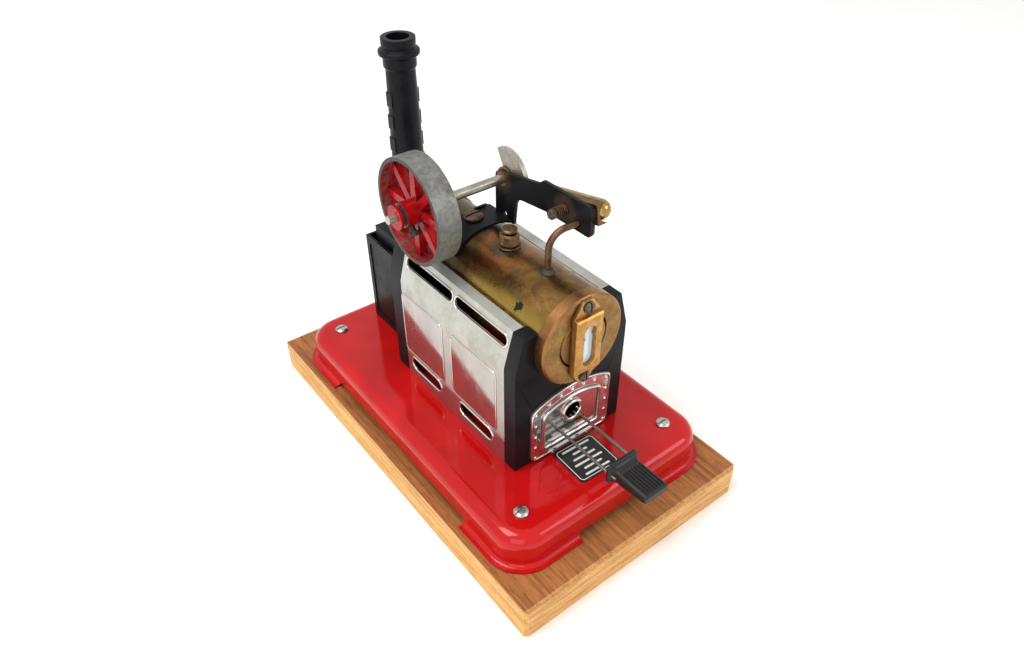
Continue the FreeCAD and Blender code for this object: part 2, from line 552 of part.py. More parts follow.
def make_sight_glass():
    """A cast frame with a thin tab above and below, a flat pane and a gasket behind them."""
    def outline(reach):
        half = "glass_wide / 2"
        return [(f"-({half})", "boiler_level - glass_tall / 2"), ("-glass_tab", f"boiler_level - {reach}"),
                ("glass_tab", f"boiler_level - {reach}"), (half, "boiler_level - glass_tall / 2"),
                (half, "boiler_level + glass_tall / 2"), ("glass_tab", f"boiler_level + {reach}"),
                ("-glass_tab", f"boiler_level + {reach}"), (f"-({half})", "boiler_level + glass_tall / 2")]

    def screw_holes(name):
        return [rod(f"{name}{number}", "glass_screw_shank + 0.01", "12", "0", "-cap_face - 8",
                    f"boiler_level + {way} * glass_screw_reach", **ALONG_Y)
                for number, way in enumerate((-1, 1))]

    flange = plate("sight_glass_flange", "XZ_Plane", outline("glass_reach"), "glass_flange",
                   offset="cap_face + gasket_thick")
    face = [(across, f"boiler_level + {level}") for across, level in slab_corners("glass_wide", "glass_tall")]
    raised = plate("sight_glass_block", "XZ_Plane", face, "glass_raise - gasket_thick",
                   offset="cap_face + gasket_thick")
    fillet(raised, "0.8", flat_edge("y", -size("cap_face") - size("glass_raise")), kind="Chamfer")
    window = window_tools("window_opening", "20")
    seat = box("pane_seat", "pane_wide", "pane_thick", "pane_tall", "-pane_wide / 2",
               "-cap_face - gasket_thick - pane_thick", "boiler_level - pane_tall / 2")
    frame = join("sight_glass_casting", flange, raised)
    node("sight_glass_frame", cut("sight_glass_frame", frame, window, seat, *screw_holes("frame_hole")))
    pane = box("sight_glass_pane", "pane_wide - 2 * fit_gap", "pane_thick - fit_gap", "pane_tall - 2 * fit_gap",
               "-pane_wide / 2 + fit_gap", "-cap_face - gasket_thick - pane_thick + fit_gap",
               "boiler_level - pane_tall / 2 + fit_gap")
    node("sight_glass_pane", pane)
    gasket = plate("gasket_sheet", "XZ_Plane", outline("glass_reach"), "gasket_thick", offset="cap_face")
    node("sight_glass_gasket", cut("sight_glass_gasket", gasket, *screw_holes("gasket_hole")))
    screws = []
    for number, way in enumerate((-1, 1)):
        level = f"boiler_level + {way} * glass_screw_reach"
        head = [("0", "-5"), ("glass_screw_shank", "-5"), ("glass_screw_shank", "0"), ("glass_screw_head", "0"),
                ("glass_screw_head", "1.1"), ("glass_screw_head - 0.8", "1.7"), ("0", "1.9")]
        blank = turned(f"glass_screw_blank{number}", head, "0", "-cap_face - gasket_thick - glass_flange", level,
                       **ALONG_MINUS_Y)
        slot = box(f"glass_screw_slot{number}", "0.7", "1.6", "2 * glass_screw_head + 2", "-0.35",
                   "-cap_face - gasket_thick - glass_flange - 2.4", f"{level} - glass_screw_head - 1")
        screws.append(cut(f"glass_screw{number}", blank, slot))
    node("sight_glass_screws", group("sight_glass_screws", screws))


def make_valve():
    """A screwed bush, a knurled body on it, and a spring-loaded spindle with a button on top."""
    bush = [("2.0", "-2.0"), ("valve_round - 1.45", "-2.0"), ("valve_round - 1.45", "0.3"),
            ("valve_round + 0.8", "0.3"), ("valve_round + 0.8", "1.2"), ("2.0", "1.2")]
    node("safety_valve_bush", turned("safety_valve_bush", bush, "0", "valve_along", "valve_foot"))
    high = "(valve_body - valve_foot)"
    body = [("valve_stem + running_gap", "1.2"), ("valve_round", "1.2"), ("valve_round", f"{high} - 1.2"),
            ("valve_round - 1.2", high), ("valve_stem + 1.2", high),
            ("valve_stem + running_gap", f"{high} - 1.0")]
    node("safety_valve_body", turned("safety_valve_body", body, "0", "valve_along", "valve_foot"))
    top = "(valve_top - valve_foot)"
    spindle = [("0", "-valve_tail"), ("1.9", "-valve_tail"), ("1.9", "-valve_tail + 0.8"),
               ("valve_stem", "-valve_tail + 0.8"), ("valve_stem", f"{high} - 0.9"),
               ("valve_stem + 1.1", f"{high} + 0.1"), ("valve_stem + 1.1", f"{high} + 0.7"),
               ("valve_cap - 0.5", f"{high} + 0.8"), ("valve_cap", f"{high} + 1.2"),
               ("valve_cap", f"{top} - 0.5"), ("valve_cap - 0.7", top), ("0", top)]
    node("safety_valve_spindle", turned("safety_valve_spindle", spindle, "0", "valve_along", "valve_foot"))
    spring = coil("safety_valve_spring", 1.2, 1.75, value("valve_tail - 2.9 - valve_lift"), 4)
    put(spring, "0", "valve_along", "valve_foot - valve_tail + 0.85")
    node("safety_valve_spring", spring)


def pipe_end():
    """Where the steam pipe meets the engine plate."""
    slant = math.tan(math.radians(size("pipe_swing")))
    return f"pipe_along - plate_face * {slant:.6f}", "pipe_level + pipe_rise * plate_face"


def make_steam_pipe():
    """Up from the boiler, round one bend and across to the engine plate."""
    foot = FreeCAD.Vector(0, size("pipe_along"), value("boiler_level + boiler_round - 2"))
    corner = FreeCAD.Vector(0, size("pipe_along"), size("pipe_level"))
    last = FreeCAD.Vector(size("plate_face"), *(value(text) for text in pipe_end()))
    run = FreeCAD.Vector(last - corner).normalize()
    radius = size("pipe_bend")
    half_turn = run.getAngle(Z_AXIS) / 2
    tangent = radius * math.tan(half_turn)
    start, finish = corner - Z_AXIS * tangent, corner + run * tangent
    inward = FreeCAD.Vector(run - Z_AXIS).normalize()
    middle = corner + inward * (radius / math.cos(half_turn) - radius)
    beyond = last + run * 4
    path = Part.Wire([Part.LineSegment(foot, start).toShape(), Part.Arc(start, middle, finish).toShape(),
                      Part.LineSegment(finish, beyond).toShape()])
    section = Part.Wire(Part.Circle(foot, Z_AXIS, size("pipe_round")).toShape())
    plate_side = Part.makeBox(20, 40, 40, FreeCAD.Vector(last.x, last.y - 20, last.z - 20))
    item = doc.addObject("Part::Feature", "steam_pipe")
    item.Shape = path.makePipeShell([section], True, False).cut(plate_side)
    node("steam_pipe", item)
    collar = [("pipe_round + fit_gap", "0.55"), ("pipe_round + 1.6", "0.55"), ("pipe_round + 0.6", "2.4"),
              ("pipe_round + fit_gap", "2.6")]
    node("steam_pipe_collar", turned("steam_pipe_collar", collar, "0", "pipe_along",
                                     "boiler_level + boiler_round - 0.5"))


# ---- chimney -------------------------------------------------------------------------------------

def make_chimney():
    inner = "(flue_box_half - flue_box_wall)"
    outer = box("flue_box_outer", "2 * flue_box_half", "flue_box_rear - rear_face", "flue_box_top - base_top",
                "-flue_box_half", "rear_face", "base_top")
    well = box("flue_box_well", f"2 * {inner}", "flue_box_rear - rear_face", "flue_box_top", f"-{inner}",
               "rear_face - flue_box_wall", "ledge")
    core = box("flue_box_core", f"2 * {inner}", "flue_box_rear - rear_face", "ledge - base_top - 2",
               f"-{inner}", "rear_face - flue_box_wall", "base_top - 1")
    block = box("flue_block", "2 * block_half", "block_rear - block_front", "block_top - ledge + 1",
                "-block_half", "block_front", "ledge - 1")
    flue = rod("flue_bore", "stack_bore", "block_top - ledge + 8", "0", "stack_along", "ledge - 4")
    side_panel = upright_rectangle("rear_face + 3", "flue_box_rear - 3", "base_top + 3", "flue_box_top - 4", "2")
    recesses = [plate(f"flue_box_recess{number}", "YZ_Plane", side_panel, "4", offset=start)
                for number, start in enumerate(("-flue_box_half - 3.4", "flue_box_half - 0.6"))]
    hollowed = cut("flue_box", outer, well, core)
    node("chimney_base", cut("chimney_base", join("chimney_base_solid", hollowed, block), flue, *recesses))
    top = "(stack_top - block_top)"
    stack = [("stack_bore", "0"), ("stack_foot", "0"), ("stack_mid", "43.6"), ("stack_neck", "87.6"),
             ("stack_collar", "88.4"), ("stack_collar", "93.4"), ("stack_bead", "94.4"),
             ("stack_bead", "96.4"), ("stack_collar - 0.2", "97.4"), ("stack_rim", f"{top} - 3.2"),
             ("stack_rim", top), ("stack_bore", top)]
    pipe = turned("chimney_pipe", stack, "0", "stack_along", "block_top")
    pads = []
    for number in range(PADS):
        level = f"(pad_top - {number} * pad_pitch)"
        reach = f"(stack_foot - (stack_foot - stack_neck) * ({level} - block_top) / 87.6 + pad_raise)"
        pads.append(box(f"chimney_pad{number}", f"2 * {reach}", "pad_wide", "pad_high", f"-{reach}",
                        "stack_along - pad_wide / 2", f"{level} - pad_high"))
    bore = rod("stack_bore", "stack_bore", "stack_top - block_top + 2", "0", "stack_along", "block_top - 1")
    node("chimney_stack", cut("chimney_stack", join("chimney_stack_solid", pipe, *pads), bore))


# ---- engine frame --------------------------------------------------------------------------------

def make_saddle():
    """The part of the engine frame's sheet that lies on the boiler: flat to the right, wrapped to the left."""
    inner = value("boiler_round + running_gap")
    outer = inner + size("saddle_sheet")
    wrap = math.radians(size("saddle_wrap"))
    centre = FreeCAD.Vector(0, size("saddle_front"), size("boiler_level"))

    def around(radius, angle):
        return centre + FreeCAD.Vector(-radius * math.sin(angle), 0, radius * math.cos(angle))

    fold = FreeCAD.Vector(value("plate_face + plate_thick"), size("saddle_front"), around(outer, 0).z)
    under = fold - Z_AXIS * size("saddle_sheet")
    section = Part.Wire([
        Part.LineSegment(fold, around(outer, 0)).toShape(),
        Part.Arc(around(outer, 0), around(outer, wrap / 2), around(outer, wrap)).toShape(),
        Part.LineSegment(around(outer, wrap), around(inner, wrap)).toShape(),
        Part.Arc(around(inner, wrap), around(inner, wrap / 2), around(inner, 0)).toShape(),
        Part.LineSegment(around(inner, 0), under).toShape(),
        Part.LineSegment(under, fold).toShape()])
    saddle = doc.addObject("Part::Feature", "saddle_band")
    saddle.Shape = Part.Face(section).extrude(Y_AXIS * value("saddle_rear - saddle_front"))
    return saddle


def make_engine_frame():
    """One folded sheet: a saddle round the boiler's top and an upright at each side."""
    under, edge = f"({SADDLE_TOP} - saddle_sheet)", "plate_face + plate_thick"
    toe = plate("saddle_toe", "XY_Plane", [
        ("6", "saddle_front + 1"), ("6", "saddle_front"), ("8.5", "1.4"), ("11.3", "0.2"),
        ("plate_face", "-1.6"), (f"{edge} - 0.6", "upright_front"), (edge, "upright_front"), (edge, "saddle_front + 1")],
        "saddle_sheet", offset=under)
    right = plate("right_upright", "YZ_Plane", [
        ("upright_front", under), ("upright_rear", under), ("upright_rear", "154.6", "3.5"),
        ("-22", "160.9", "3"), ("-24.5", "163.4", "1.5"), ("-57", "163.9", "2"), ("-57.1", "148.9", "2"), ("-27.2", "148.8", "8"),
        ("-5.2", "146.1", "6")], "plate_thick", offset="plate_face")
    left = plate("left_upright", "YZ_Plane", [
        ("saddle_front", "122.4"), ("15.0", "122.4"), ("12", "158", "5"), ("0", "158", "5")],
        "plate_thick", offset="left_plate")
    shaft = rod("bush_openings", "bush_round + fit_gap", "60", "-35", "shaft_along", "shaft_level", **ALONG_X)
    trunnion = rod("trunnion_opening", "trunnion_round + running_gap", "6", "10", "trunnion_along",
                   "trunnion_level", **ALONG_X)
    steam = rod("steam_opening", "steam_port", "6", "11", *pipe_end(), **ALONG_X)
    relief = rod("fold_relief", "1.6", "6", "plate_face - 1", "3.5", f"{SADDLE_TOP} + 1.6", **ALONG_X)
    screw = rod("frame_screw_opening", "2.1", "8", "frame_screw_across", "frame_screw_along",
                "boiler_level + boiler_round - 3")
    lip = box("saddle_rear_lip", "6.5", "1.2", "2.4", "5", "saddle_rear - 1.2", under)
    solid = join("frame_solid", make_saddle(), toe, right, left, lip)
    node("engine_frame", cut("engine_frame", solid, shaft, trunnion, steam, relief, screw))


# ---- crankshaft and flywheel ---------------------------------------------------------------------

def make_bushes():
    bush = [("shaft_round + running_gap", "0"), ("bush_round", "0"), ("bush_round", "plate_thick"),
            ("bush_flange", "plate_thick"), ("bush_flange", "plate_thick + 0.6"),
            ("bush_flange - 1.2", "plate_thick + bush_lip"),
            ("shaft_round + running_gap", "plate_thick + bush_lip")]
    for name, x, turn in (("right_crankshaft_bush", "plate_face", ALONG_X),
                          ("left_crankshaft_bush", "left_plate + plate_thick", ALONG_MINUS_X)):
        node(name, turned(name, bush, x, "shaft_along", "shaft_level", **turn))


def make_frame_screw():
    """A large slotted screw that holds the saddle to the boiler."""
    head = [("0", "-1.1"), ("2.0", "-1.1"), ("2.0", "0.2"), ("5.0", "0.2"), ("5.0", "1.2"), ("4.0", "1.9"),
            ("0", "2.2")]
    blank = turned("frame_screw_blank", head, "frame_screw_across", "frame_screw_along", SADDLE_TOP)
    slot = box("frame_screw_slot", "12", "1.2", "2", "frame_screw_across - 6", "frame_screw_along - 0.6",
               f"{SADDLE_TOP} + 1.1")
    node("frame_screw", cut("frame_screw", blank, slot))


def make_crankshaft():
    """The shaft, turned down a little at its free end for a coupling."""
    length = "shaft_right - shaft_left"
    outline = [("0", "0"), ("seat_round - seat_chamfer", "0"), ("seat_round", "seat_chamfer"),
               ("seat_round", "seat_chamfer + seat_long"), ("shaft_round", "seat_chamfer + seat_long"),
               ("shaft_round", length), ("0", length)]
    node("crankshaft", turned("crankshaft", outline, "shaft_left", "shaft_along", "shaft_level", **ALONG_X))


def make_crank():
    """A fan-shaped balance weight with a hub, an arm to the pin's boss, and the pin."""
    thick = "web_right - web_left"
    lean, turn = math.radians(size("crank_lean")), FreeCAD.Rotation(X_AXIS, size("crank_lean"))
    pin_y = f"shaft_along + crank_throw * {math.cos(lean):.6f}"
    pin_z = f"shaft_level + crank_throw * {math.sin(lean):.6f}"
    fan = bind(doc.addObject("Part::Cylinder", "web_fan"), Radius="web_round", Height=thick, Angle="fan_angle")
    fan_turn = FreeCAD.Rotation(X_AXIS, value("crank_lean + 180 - fan_angle / 2"))
    fan.Placement.Rotation = fan_turn.multiply(YZ_TURN)
    put(fan, "web_left", "shaft_along", "shaft_level")
    hub = rod("web_hub", "web_hub", thick, "web_left", "shaft_along", "shaft_level", **ALONG_X)
    boss = rod("web_boss", "pin_round + 1.4", thick, "web_left", pin_y, pin_z, **ALONG_X)
    arm = box("web_arm", thick, "crank_throw", "arm_wide", "0", "0", "0")
    arm.Placement.Rotation = turn
    put(arm, "web_left", f"shaft_along + arm_wide / 2 * {math.sin(lean):.6f}",
        f"shaft_level - arm_wide / 2 * {math.cos(lean):.6f}")
    bore = rod("web_bore", "shaft_round + 0.01", "8", "web_left - 2", "shaft_along", "shaft_level", **ALONG_X)
    pin_bore = rod("pin_bore", "pin_round + 0.01", "8", "web_left - 2", pin_y, pin_z, **ALONG_X)
    node("crank_web", cut("crank_web", join("crank_web_solid", fan, hub, arm, boss), bore, pin_bore))
    node("crank_pin", rod("crank_pin", "pin_round", "pin_end - web_left", "web_left", pin_y, pin_z, **ALONG_X))


def set_screw_turn():
    """Turn an item's own Z axis to point out of the flywheel's hub, where its screw is."""
    return dict(axis=X_AXIS, angle=size("set_screw_angle") - 90)


def make_flywheel():
    """A wide rim with a rib inside it, eight tapered spokes and a long hub with a belt groove."""
    wide, middle = "(wheel_inner - wheel_outer)", "(wheel_inner + wheel_outer) / 2"
    shaft = ("shaft_along", "shaft_level")
    rim = turned("flywheel_rim", [("rim_inner", "0"), ("wheel_round", "0"), ("wheel_round", wide),
                                  ("rim_inner", wide)], "wheel_outer", *shaft, **ALONG_X)
    rib = turned("flywheel_rib", [("rib_inner", "0"), ("rim_inner + 0.2", "0"), ("rim_inner + 0.2", "rib_wide"),
                                  ("rib_inner", "rib_wide")], f"{middle} - rib_wide / 2", *shaft, **ALONG_X)
    hub_long, groove_end = "(wheel_inner - hub_outer)", "belt_flange + groove_wide"
    hub = turned("flywheel_hub", [("shaft_round + 0.01", "0"), ("hub_round", "0"), ("hub_round", "belt_flange"),
                                  ("groove_round", "belt_flange + 0.4"), ("groove_round", groove_end),
                                  ("hub_round", f"{groove_end} + 0.4"), ("hub_round", hub_long),
                                  ("shaft_round + 0.01", hub_long)],
                 "hub_outer", *shaft, **ALONG_X)
    spokes = []
    for number in range(SPOKES):
        outline = [("hub_round - 0.6", "-spoke_hub / 2"), ("rim_inner + 0.2", "-spoke_tip / 2"),
                   ("rim_inner + 0.2", "spoke_tip / 2"), ("hub_round - 0.6", "spoke_hub / 2")]
        spoke = plate(f"flywheel_spoke{number}", "YZ_Plane", outline, "spoke_thick",
                      offset=f"{middle} - spoke_thick / 2")
        spokes.append(put(spoke, "0", *shaft, X_AXIS, 360 / SPOKES * number))
    tapped = rod("set_screw_hole", "set_neck + 0.01", "7", "set_screw_across", *shaft, **set_screw_turn())
    node("flywheel", cut("flywheel", join("flywheel_solid", rim, rib, hub, *spokes), tapped))
    screw = [("0", "shaft_round + 0.05"), ("set_neck", "shaft_round + 0.05"), ("set_neck", "set_rise"),
             ("set_head", "set_rise"), ("set_head", "set_top - 0.3"), ("set_head - 0.3", "set_top"),
             ("0", "set_top")]
    node("flywheel_set_screw", turned("flywheel_set_screw", screw, "set_screw_across", *shaft,
                                      **set_screw_turn()))


# ---- cylinder and piston -------------------------------------------------------------------------

def nose_place(along, side="cylinder_side"):
    """A place on the cylinder's axis, measured from the trunnion towards the nose."""
    pitch = math.radians(size("cylinder_pitch"))
    return dict(x=side, y=f"trunnion_along - ({along}) * {math.cos(pitch):.6f}",
                z=f"trunnion_level + ({along}) * {math.sin(pitch):.6f}")


def nose_turn():
    """Turn an item's own Z axis to point along the cylinder towards its nose."""
    return dict(axis=X_AXIS, angle=90 - size("cylinder_pitch"))


def make_cylinder():
    """The barrel with its domed end, and the port block that carries the trunnion."""
    front = "cylinder_back + cylinder_front"
    bends = [math.radians(15 * step) for step in range(1, 6)]
    dome = [(f"cylinder_round * {math.cos(bend):.6f}", f"{front} + dome_long * {math.sin(bend):.6f}")
            for bend in bends]
    barrel = turned("cylinder_barrel", [
        ("cylinder_bore", "0"), ("cylinder_round", "0"), ("cylinder_round", front), *dome,
        ("0", f"{front} + dome_long"), ("0", f"{front}"), ("cylinder_bore", f"{front}")],
        **nose_place("-cylinder_back"), **nose_turn())
    node("cylinder_tube", barrel)
    block = box("port_block_blank", f"cylinder_side - {BLOCK_FACE} - 1", "block_high", "block_long",
                "0", "0", "0", X_AXIS, 90 - size("cylinder_pitch"))
    pitch = math.radians(size("cylinder_pitch"))
    back, half = "(block_long - block_ahead)", "(block_high / 2)"
    put(block, BLOCK_FACE, f"trunnion_along + {back} * {math.cos(pitch):.6f} - {half} * {math.sin(pitch):.6f}",
        f"trunnion_level - {back} * {math.sin(pitch):.6f} - {half} * {math.cos(pitch):.6f}")
    seat = turned("barrel_seat", [("0", "-40"), ("cylinder_round + 0.01", "-40"),
                                  ("cylinder_round + 0.01", "60"), ("0", "60")],
                  **nose_place("0"), **nose_turn())
    stud_hole = rod("stud_hole", "trunnion_round + 0.01", "1.6", BLOCK_FACE, "trunnion_along", "trunnion_level",
                    **ALONG_X)
    node("cylinder_port_block", cut("cylinder_port_block", block, seat, stud_hole))


def make_port_plate():
    """The fixed face that the port block slides on, with the steam port and the trunnion's bearing."""
    face = plate("port_plate_blank", "YZ_Plane",
                 upright_rectangle("-57", "-29", "149.6", "162.6", "1.2"), "port_plate",
                 offset="plate_face + plate_thick")
    start = "plate_face + plate_thick - 1"
    bearing = rod("port_plate_bearing", "trunnion_round + running_gap", "4", start, "trunnion_along",
                  "trunnion_level", **ALONG_X)
    port = rod("port_plate_port", "steam_port", "4", start, *pipe_end(), **ALONG_X)
    node("port_plate", cut("port_plate", face, bearing, port))


def make_trunnion():
    """The stud that the cylinder rocks on, with a nut and a spring that press it to the port plate."""
    pivot = ("trunnion_along", "trunnion_level")
    node("trunnion_bolt", rod("trunnion_bolt", "trunnion_round", f"{BLOCK_FACE} + 1.1 - trunnion_end",
                              "trunnion_end", *pivot, **ALONG_X))
    ways = [math.radians(60 * number) for number in range(6)]
    hexagon = [(f"nut_across / 2 * {math.cos(way):.6f}", f"nut_across / 2 * {math.sin(way):.6f}")
               for way in ways]
    blank = plate("trunnion_nut_blank", "YZ_Plane", hexagon, "nut_thick", offset="trunnion_end")
    put(blank, "0", *pivot)
    thread = rod("trunnion_nut_thread", "trunnion_round + 0.02", "nut_thick + 2", "trunnion_end - 1", *pivot,
                 **ALONG_X)
    node("trunnion_nut", cut("trunnion_nut", blank, thread))
    spring = coil("trunnion_spring", size("spring_round") - size("spring_wire"), size("spring_round"),
                  value("plate_face - trunnion_end - nut_thick - 0.1"), 5)
    node("trunnion_spring", put(spring, "trunnion_end + nut_thick + 0.05", *pivot, **ALONG_X))


def make_piston():
    back = "(piston_front + piston_long)"
    piston = turned("piston", [("0", "0"), ("piston_round", "0"), ("piston_round", "piston_long"),
                               ("0", "piston_long")], **nose_place(f"-{back}"), **nose_turn())
    node("piston", piston)
    rod_long = f"pin_distance - {back} - eye_round + 0.4"
    bar = turned("piston_rod_bar", [("0", "0"), ("rod_round", "0"), ("rod_round", rod_long), ("0", rod_long)],
                 **nose_place("-(pin_distance - eye_round + 0.4)"), **nose_turn())
    spot = nose_place("-pin_distance", "pin_end + 2 * running_gap")
    eye = rod("piston_rod_eye", "eye_round", "eye_thick", **spot, **ALONG_X)
    hole = rod("piston_rod_hole", "pin_round + running_gap", "eye_thick + 2", "pin_end - 1",
               spot["y"], spot["z"], **ALONG_X)
    node("piston_rod", cut("piston_rod", join("piston_rod_solid", bar, eye), hole))


# ---- burner --------------------------------------------------------------------------------------

def make_burner_door():
    """An arched plate with a raised border, an air hole in a ring, a slit, rivets and a folded ledge."""
    door = arched("burner_door_plate", "burner_half", "burner_low", "burner_side", "burner_top", "burner_round",
                  "burner_face - burner_back", "burner_back")
    rim = arched("burner_door_rim", "rim_half", "rim_low", "rim_side", "rim_top", "rim_round", "rim_raise + 0.2",
                 "burner_face - 0.2")
    field = arched("burner_door_field", "rim_half - rim_wide", "rim_low + rim_wide", "rim_side - 0.4",
                   "rim_top - rim_wide", "rim_round - rim_wide", "3", "burner_face")
    ring = rod("burner_door_ring", "hole_ring", "rim_raise + 0.2", "0", "-burner_face - rim_raise", "hole_level",
               **ALONG_Y)
    hole = rod("burner_door_hole", "hole_round", "8", "0", "-burner_face - 3", "hole_level", **ALONG_Y)
    slit = box("burner_door_slit", "2 * slit_half", "8", "slit_high", "-slit_half", "-burner_face - 3",
               "slit_level - slit_high / 2")
    ledge = box("burner_door_ledge", "ledge_right - ledge_left", "ledge_reach", "ledge_high - ledge_low",
                "ledge_left", "-burner_face - ledge_reach", "ledge_low")
    places = [(f"{side} * rivet_half", f"rivet_low + {step} * rivet_pitch")
              for side in (-1, 1) for step in range(5)]
    places += [(f"{step} * rivet_pitch", f"rivet_top - {0.55 * step * step:.2f}")
               for step in (-2, -1, 0, 1, 2)]
    head = [("0", "-0.2"), ("0.85", "-0.2"), ("0.85", "0.15"), ("0.5", "0.5"), ("0", "0.6")]
    rivets = [turned(f"door_rivet{number}", head, x, "-burner_face", z, **ALONG_MINUS_Y)
              for number, (x, z) in enumerate(places)]
    solid = join("burner_door_solid", door, cut("burner_door_raised", rim, field), ring, ledge, *rivets)
    node("burner_door", cut("burner_door", solid, hole, slit))


def make_burner():
    """A spirit tray behind the door, and two wires that run out to the grip."""
    tray = box("tray_outer", "2 * tray_half", "tray_long", "tray_high - tray_low", "-tray_half",
               "-burner_back", "tray_low")
    inside = box("tray_inside", "2 * (tray_half - tray_sheet)", "tray_long - 2 * tray_sheet",
                 "tray_high - tray_low", "-tray_half + tray_sheet", "-burner_back + tray_sheet",
                 "tray_low + tray_sheet")
    node("burner_tray", cut("burner_tray", tray, inside))
    rods = [rod(f"wire{number}", "wire_round", "wire_front - wire_back", f"{side} * wire_half", "-wire_front",
                "wire_level", **ALONG_Y) for number, side in enumerate((-1, 1))]
    legs = [rod(f"wire_leg{number}", "wire_round", "wire_level - tray_low - tray_sheet", f"{side} * wire_half",
                "-wire_back", "tray_low + tray_sheet") for number, side in enumerate((-1, 1))]
    cross = rod("wire_cross", "wire_round", "2 * wire_half", "-wire_half", "-wire_back",
                "tray_low + tray_sheet + wire_round", **ALONG_X)
    node("burner_wire_handle", join("burner_wire_handle", *rods, *legs, cross))


def make_grip():
    """A moulded grip with a collar towards the engine, grooves along its top and a thin front edge."""
    body = plate("grip_body", "YZ_Plane", [("-grip_front", "grip_front_low"), ("-grip_back", "grip_low"),
                                           ("-grip_back", "grip_top"), ("-grip_front", "grip_top")],
                 "2 * grip_half", offset="-grip_half")
    fillet(body, "1.6", edge_along(Z_AXIS))
    collar = plate("grip_collar", "XZ_Plane",
                   upright_rectangle("-collar_half", "collar_half", "collar_low", "collar_top", "collar_round"),
                   "collar_long", offset="grip_back")
    grooves = [box(f"grip_groove{number}", "0.9", "grip_front - grip_back - collar_long - 3", "2",
                   f"{(number - 3) * 1.9:.2f} - 0.45", "-grip_front + 1.5", "grip_top - 0.7")
               for number in range(7)]
    sockets = [rod(f"grip_socket{number}", "wire_round + 0.01", "wire_front - grip_back + 1",
                   f"{side} * wire_half", "-wire_front", "wire_level", **ALONG_Y)
               for number, side in enumerate((-1, 1))]
    node("burner_grip", cut("burner_grip", join("burner_grip_solid", body, collar), *grooves, *sockets))


def make_label():
    """A blank plate on the base in front of the burner, not quite square to it."""
    body = rounded_slab("label_plate", "label_wide", "label_long", "label_round", "0", "label_thick")
    node("label_plate", put(body, "-0.4", "label_along", "base_top", Z_AXIS, -2))


def check_and_write():
    """Stop if anything failed, then write each part to its own STEP file."""
    doc.recompute()
    for item in doc.Objects:
        if {"Invalid", "Error"} & set(item.State):
            raise RuntimeError(f"{item.Name} failed: {item.State}")
    for name, item in NODES.items():
        shape = item.Shape
        if shape.isNull() or not shape.isValid() or not shape.Solids:
            raise RuntimeError(f"{name} has no valid solid")
        shape.exportStep(f"parts/{name}.step")
        reach = shape.BoundBox
        print(f"{name}: {len(shape.Solids)} solids, {shape.Volume:.1f} mm3, "
              f"x {reach.XMin:.1f}..{reach.XMax:.1f} y {reach.YMin:.1f}..{reach.YMax:.1f} "
              f"z {reach.ZMin:.1f}..{reach.ZMax:.1f}")


make_board()
make_base()
make_base_screws()
make_front_end()
make_rear_end()
make_side_panel("firebox_left_side", -1)
make_side_panel("firebox_right_side", 1)
make_boiler()
make_sight_glass()
make_valve()
make_steam_pipe()
make_chimney()
make_engine_frame()
make_bushes()
make_frame_screw()
make_crankshaft()
make_crank()
make_flywheel()
make_cylinder()
make_port_plate()
make_trunnion()
make_piston()
make_burner_door()
make_burner()
make_grip()
make_label()
check_and_write()
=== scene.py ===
import math
import bpy
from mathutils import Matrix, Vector


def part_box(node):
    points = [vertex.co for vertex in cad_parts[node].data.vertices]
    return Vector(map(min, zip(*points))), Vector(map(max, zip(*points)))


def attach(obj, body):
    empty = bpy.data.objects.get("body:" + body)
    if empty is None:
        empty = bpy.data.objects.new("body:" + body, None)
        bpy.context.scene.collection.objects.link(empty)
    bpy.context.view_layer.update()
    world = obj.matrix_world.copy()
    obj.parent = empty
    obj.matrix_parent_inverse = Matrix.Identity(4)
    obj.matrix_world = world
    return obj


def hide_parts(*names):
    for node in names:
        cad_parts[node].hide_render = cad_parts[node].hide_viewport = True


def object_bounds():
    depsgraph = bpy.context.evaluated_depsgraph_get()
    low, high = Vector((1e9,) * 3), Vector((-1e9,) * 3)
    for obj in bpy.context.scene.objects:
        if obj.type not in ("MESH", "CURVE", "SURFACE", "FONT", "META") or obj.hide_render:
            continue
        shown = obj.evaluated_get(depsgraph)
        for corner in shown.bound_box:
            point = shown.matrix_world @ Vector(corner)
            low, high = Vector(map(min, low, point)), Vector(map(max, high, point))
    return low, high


# Model steam engine: finishes, pressed details, floor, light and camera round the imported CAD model.
# Pieces are made in millimetres in the CAD model's frame and stored in metres.

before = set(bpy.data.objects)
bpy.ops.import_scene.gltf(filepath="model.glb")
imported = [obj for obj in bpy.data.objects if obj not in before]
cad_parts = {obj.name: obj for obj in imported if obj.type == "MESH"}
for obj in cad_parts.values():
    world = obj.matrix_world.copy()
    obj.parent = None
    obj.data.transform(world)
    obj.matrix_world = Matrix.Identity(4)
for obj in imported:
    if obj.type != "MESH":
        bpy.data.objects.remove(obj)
cad_low, cad_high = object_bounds()

MM = 0.001


def extent(node):
    """A CAD node's lowest and highest corner, in millimetres."""
    low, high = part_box(node)
    return low / MM, high / MM


def centre_of(node):
    low, high = extent(node)
    return (low + high) / 2


# ---- materials -----------------------------------------------------------------------------------

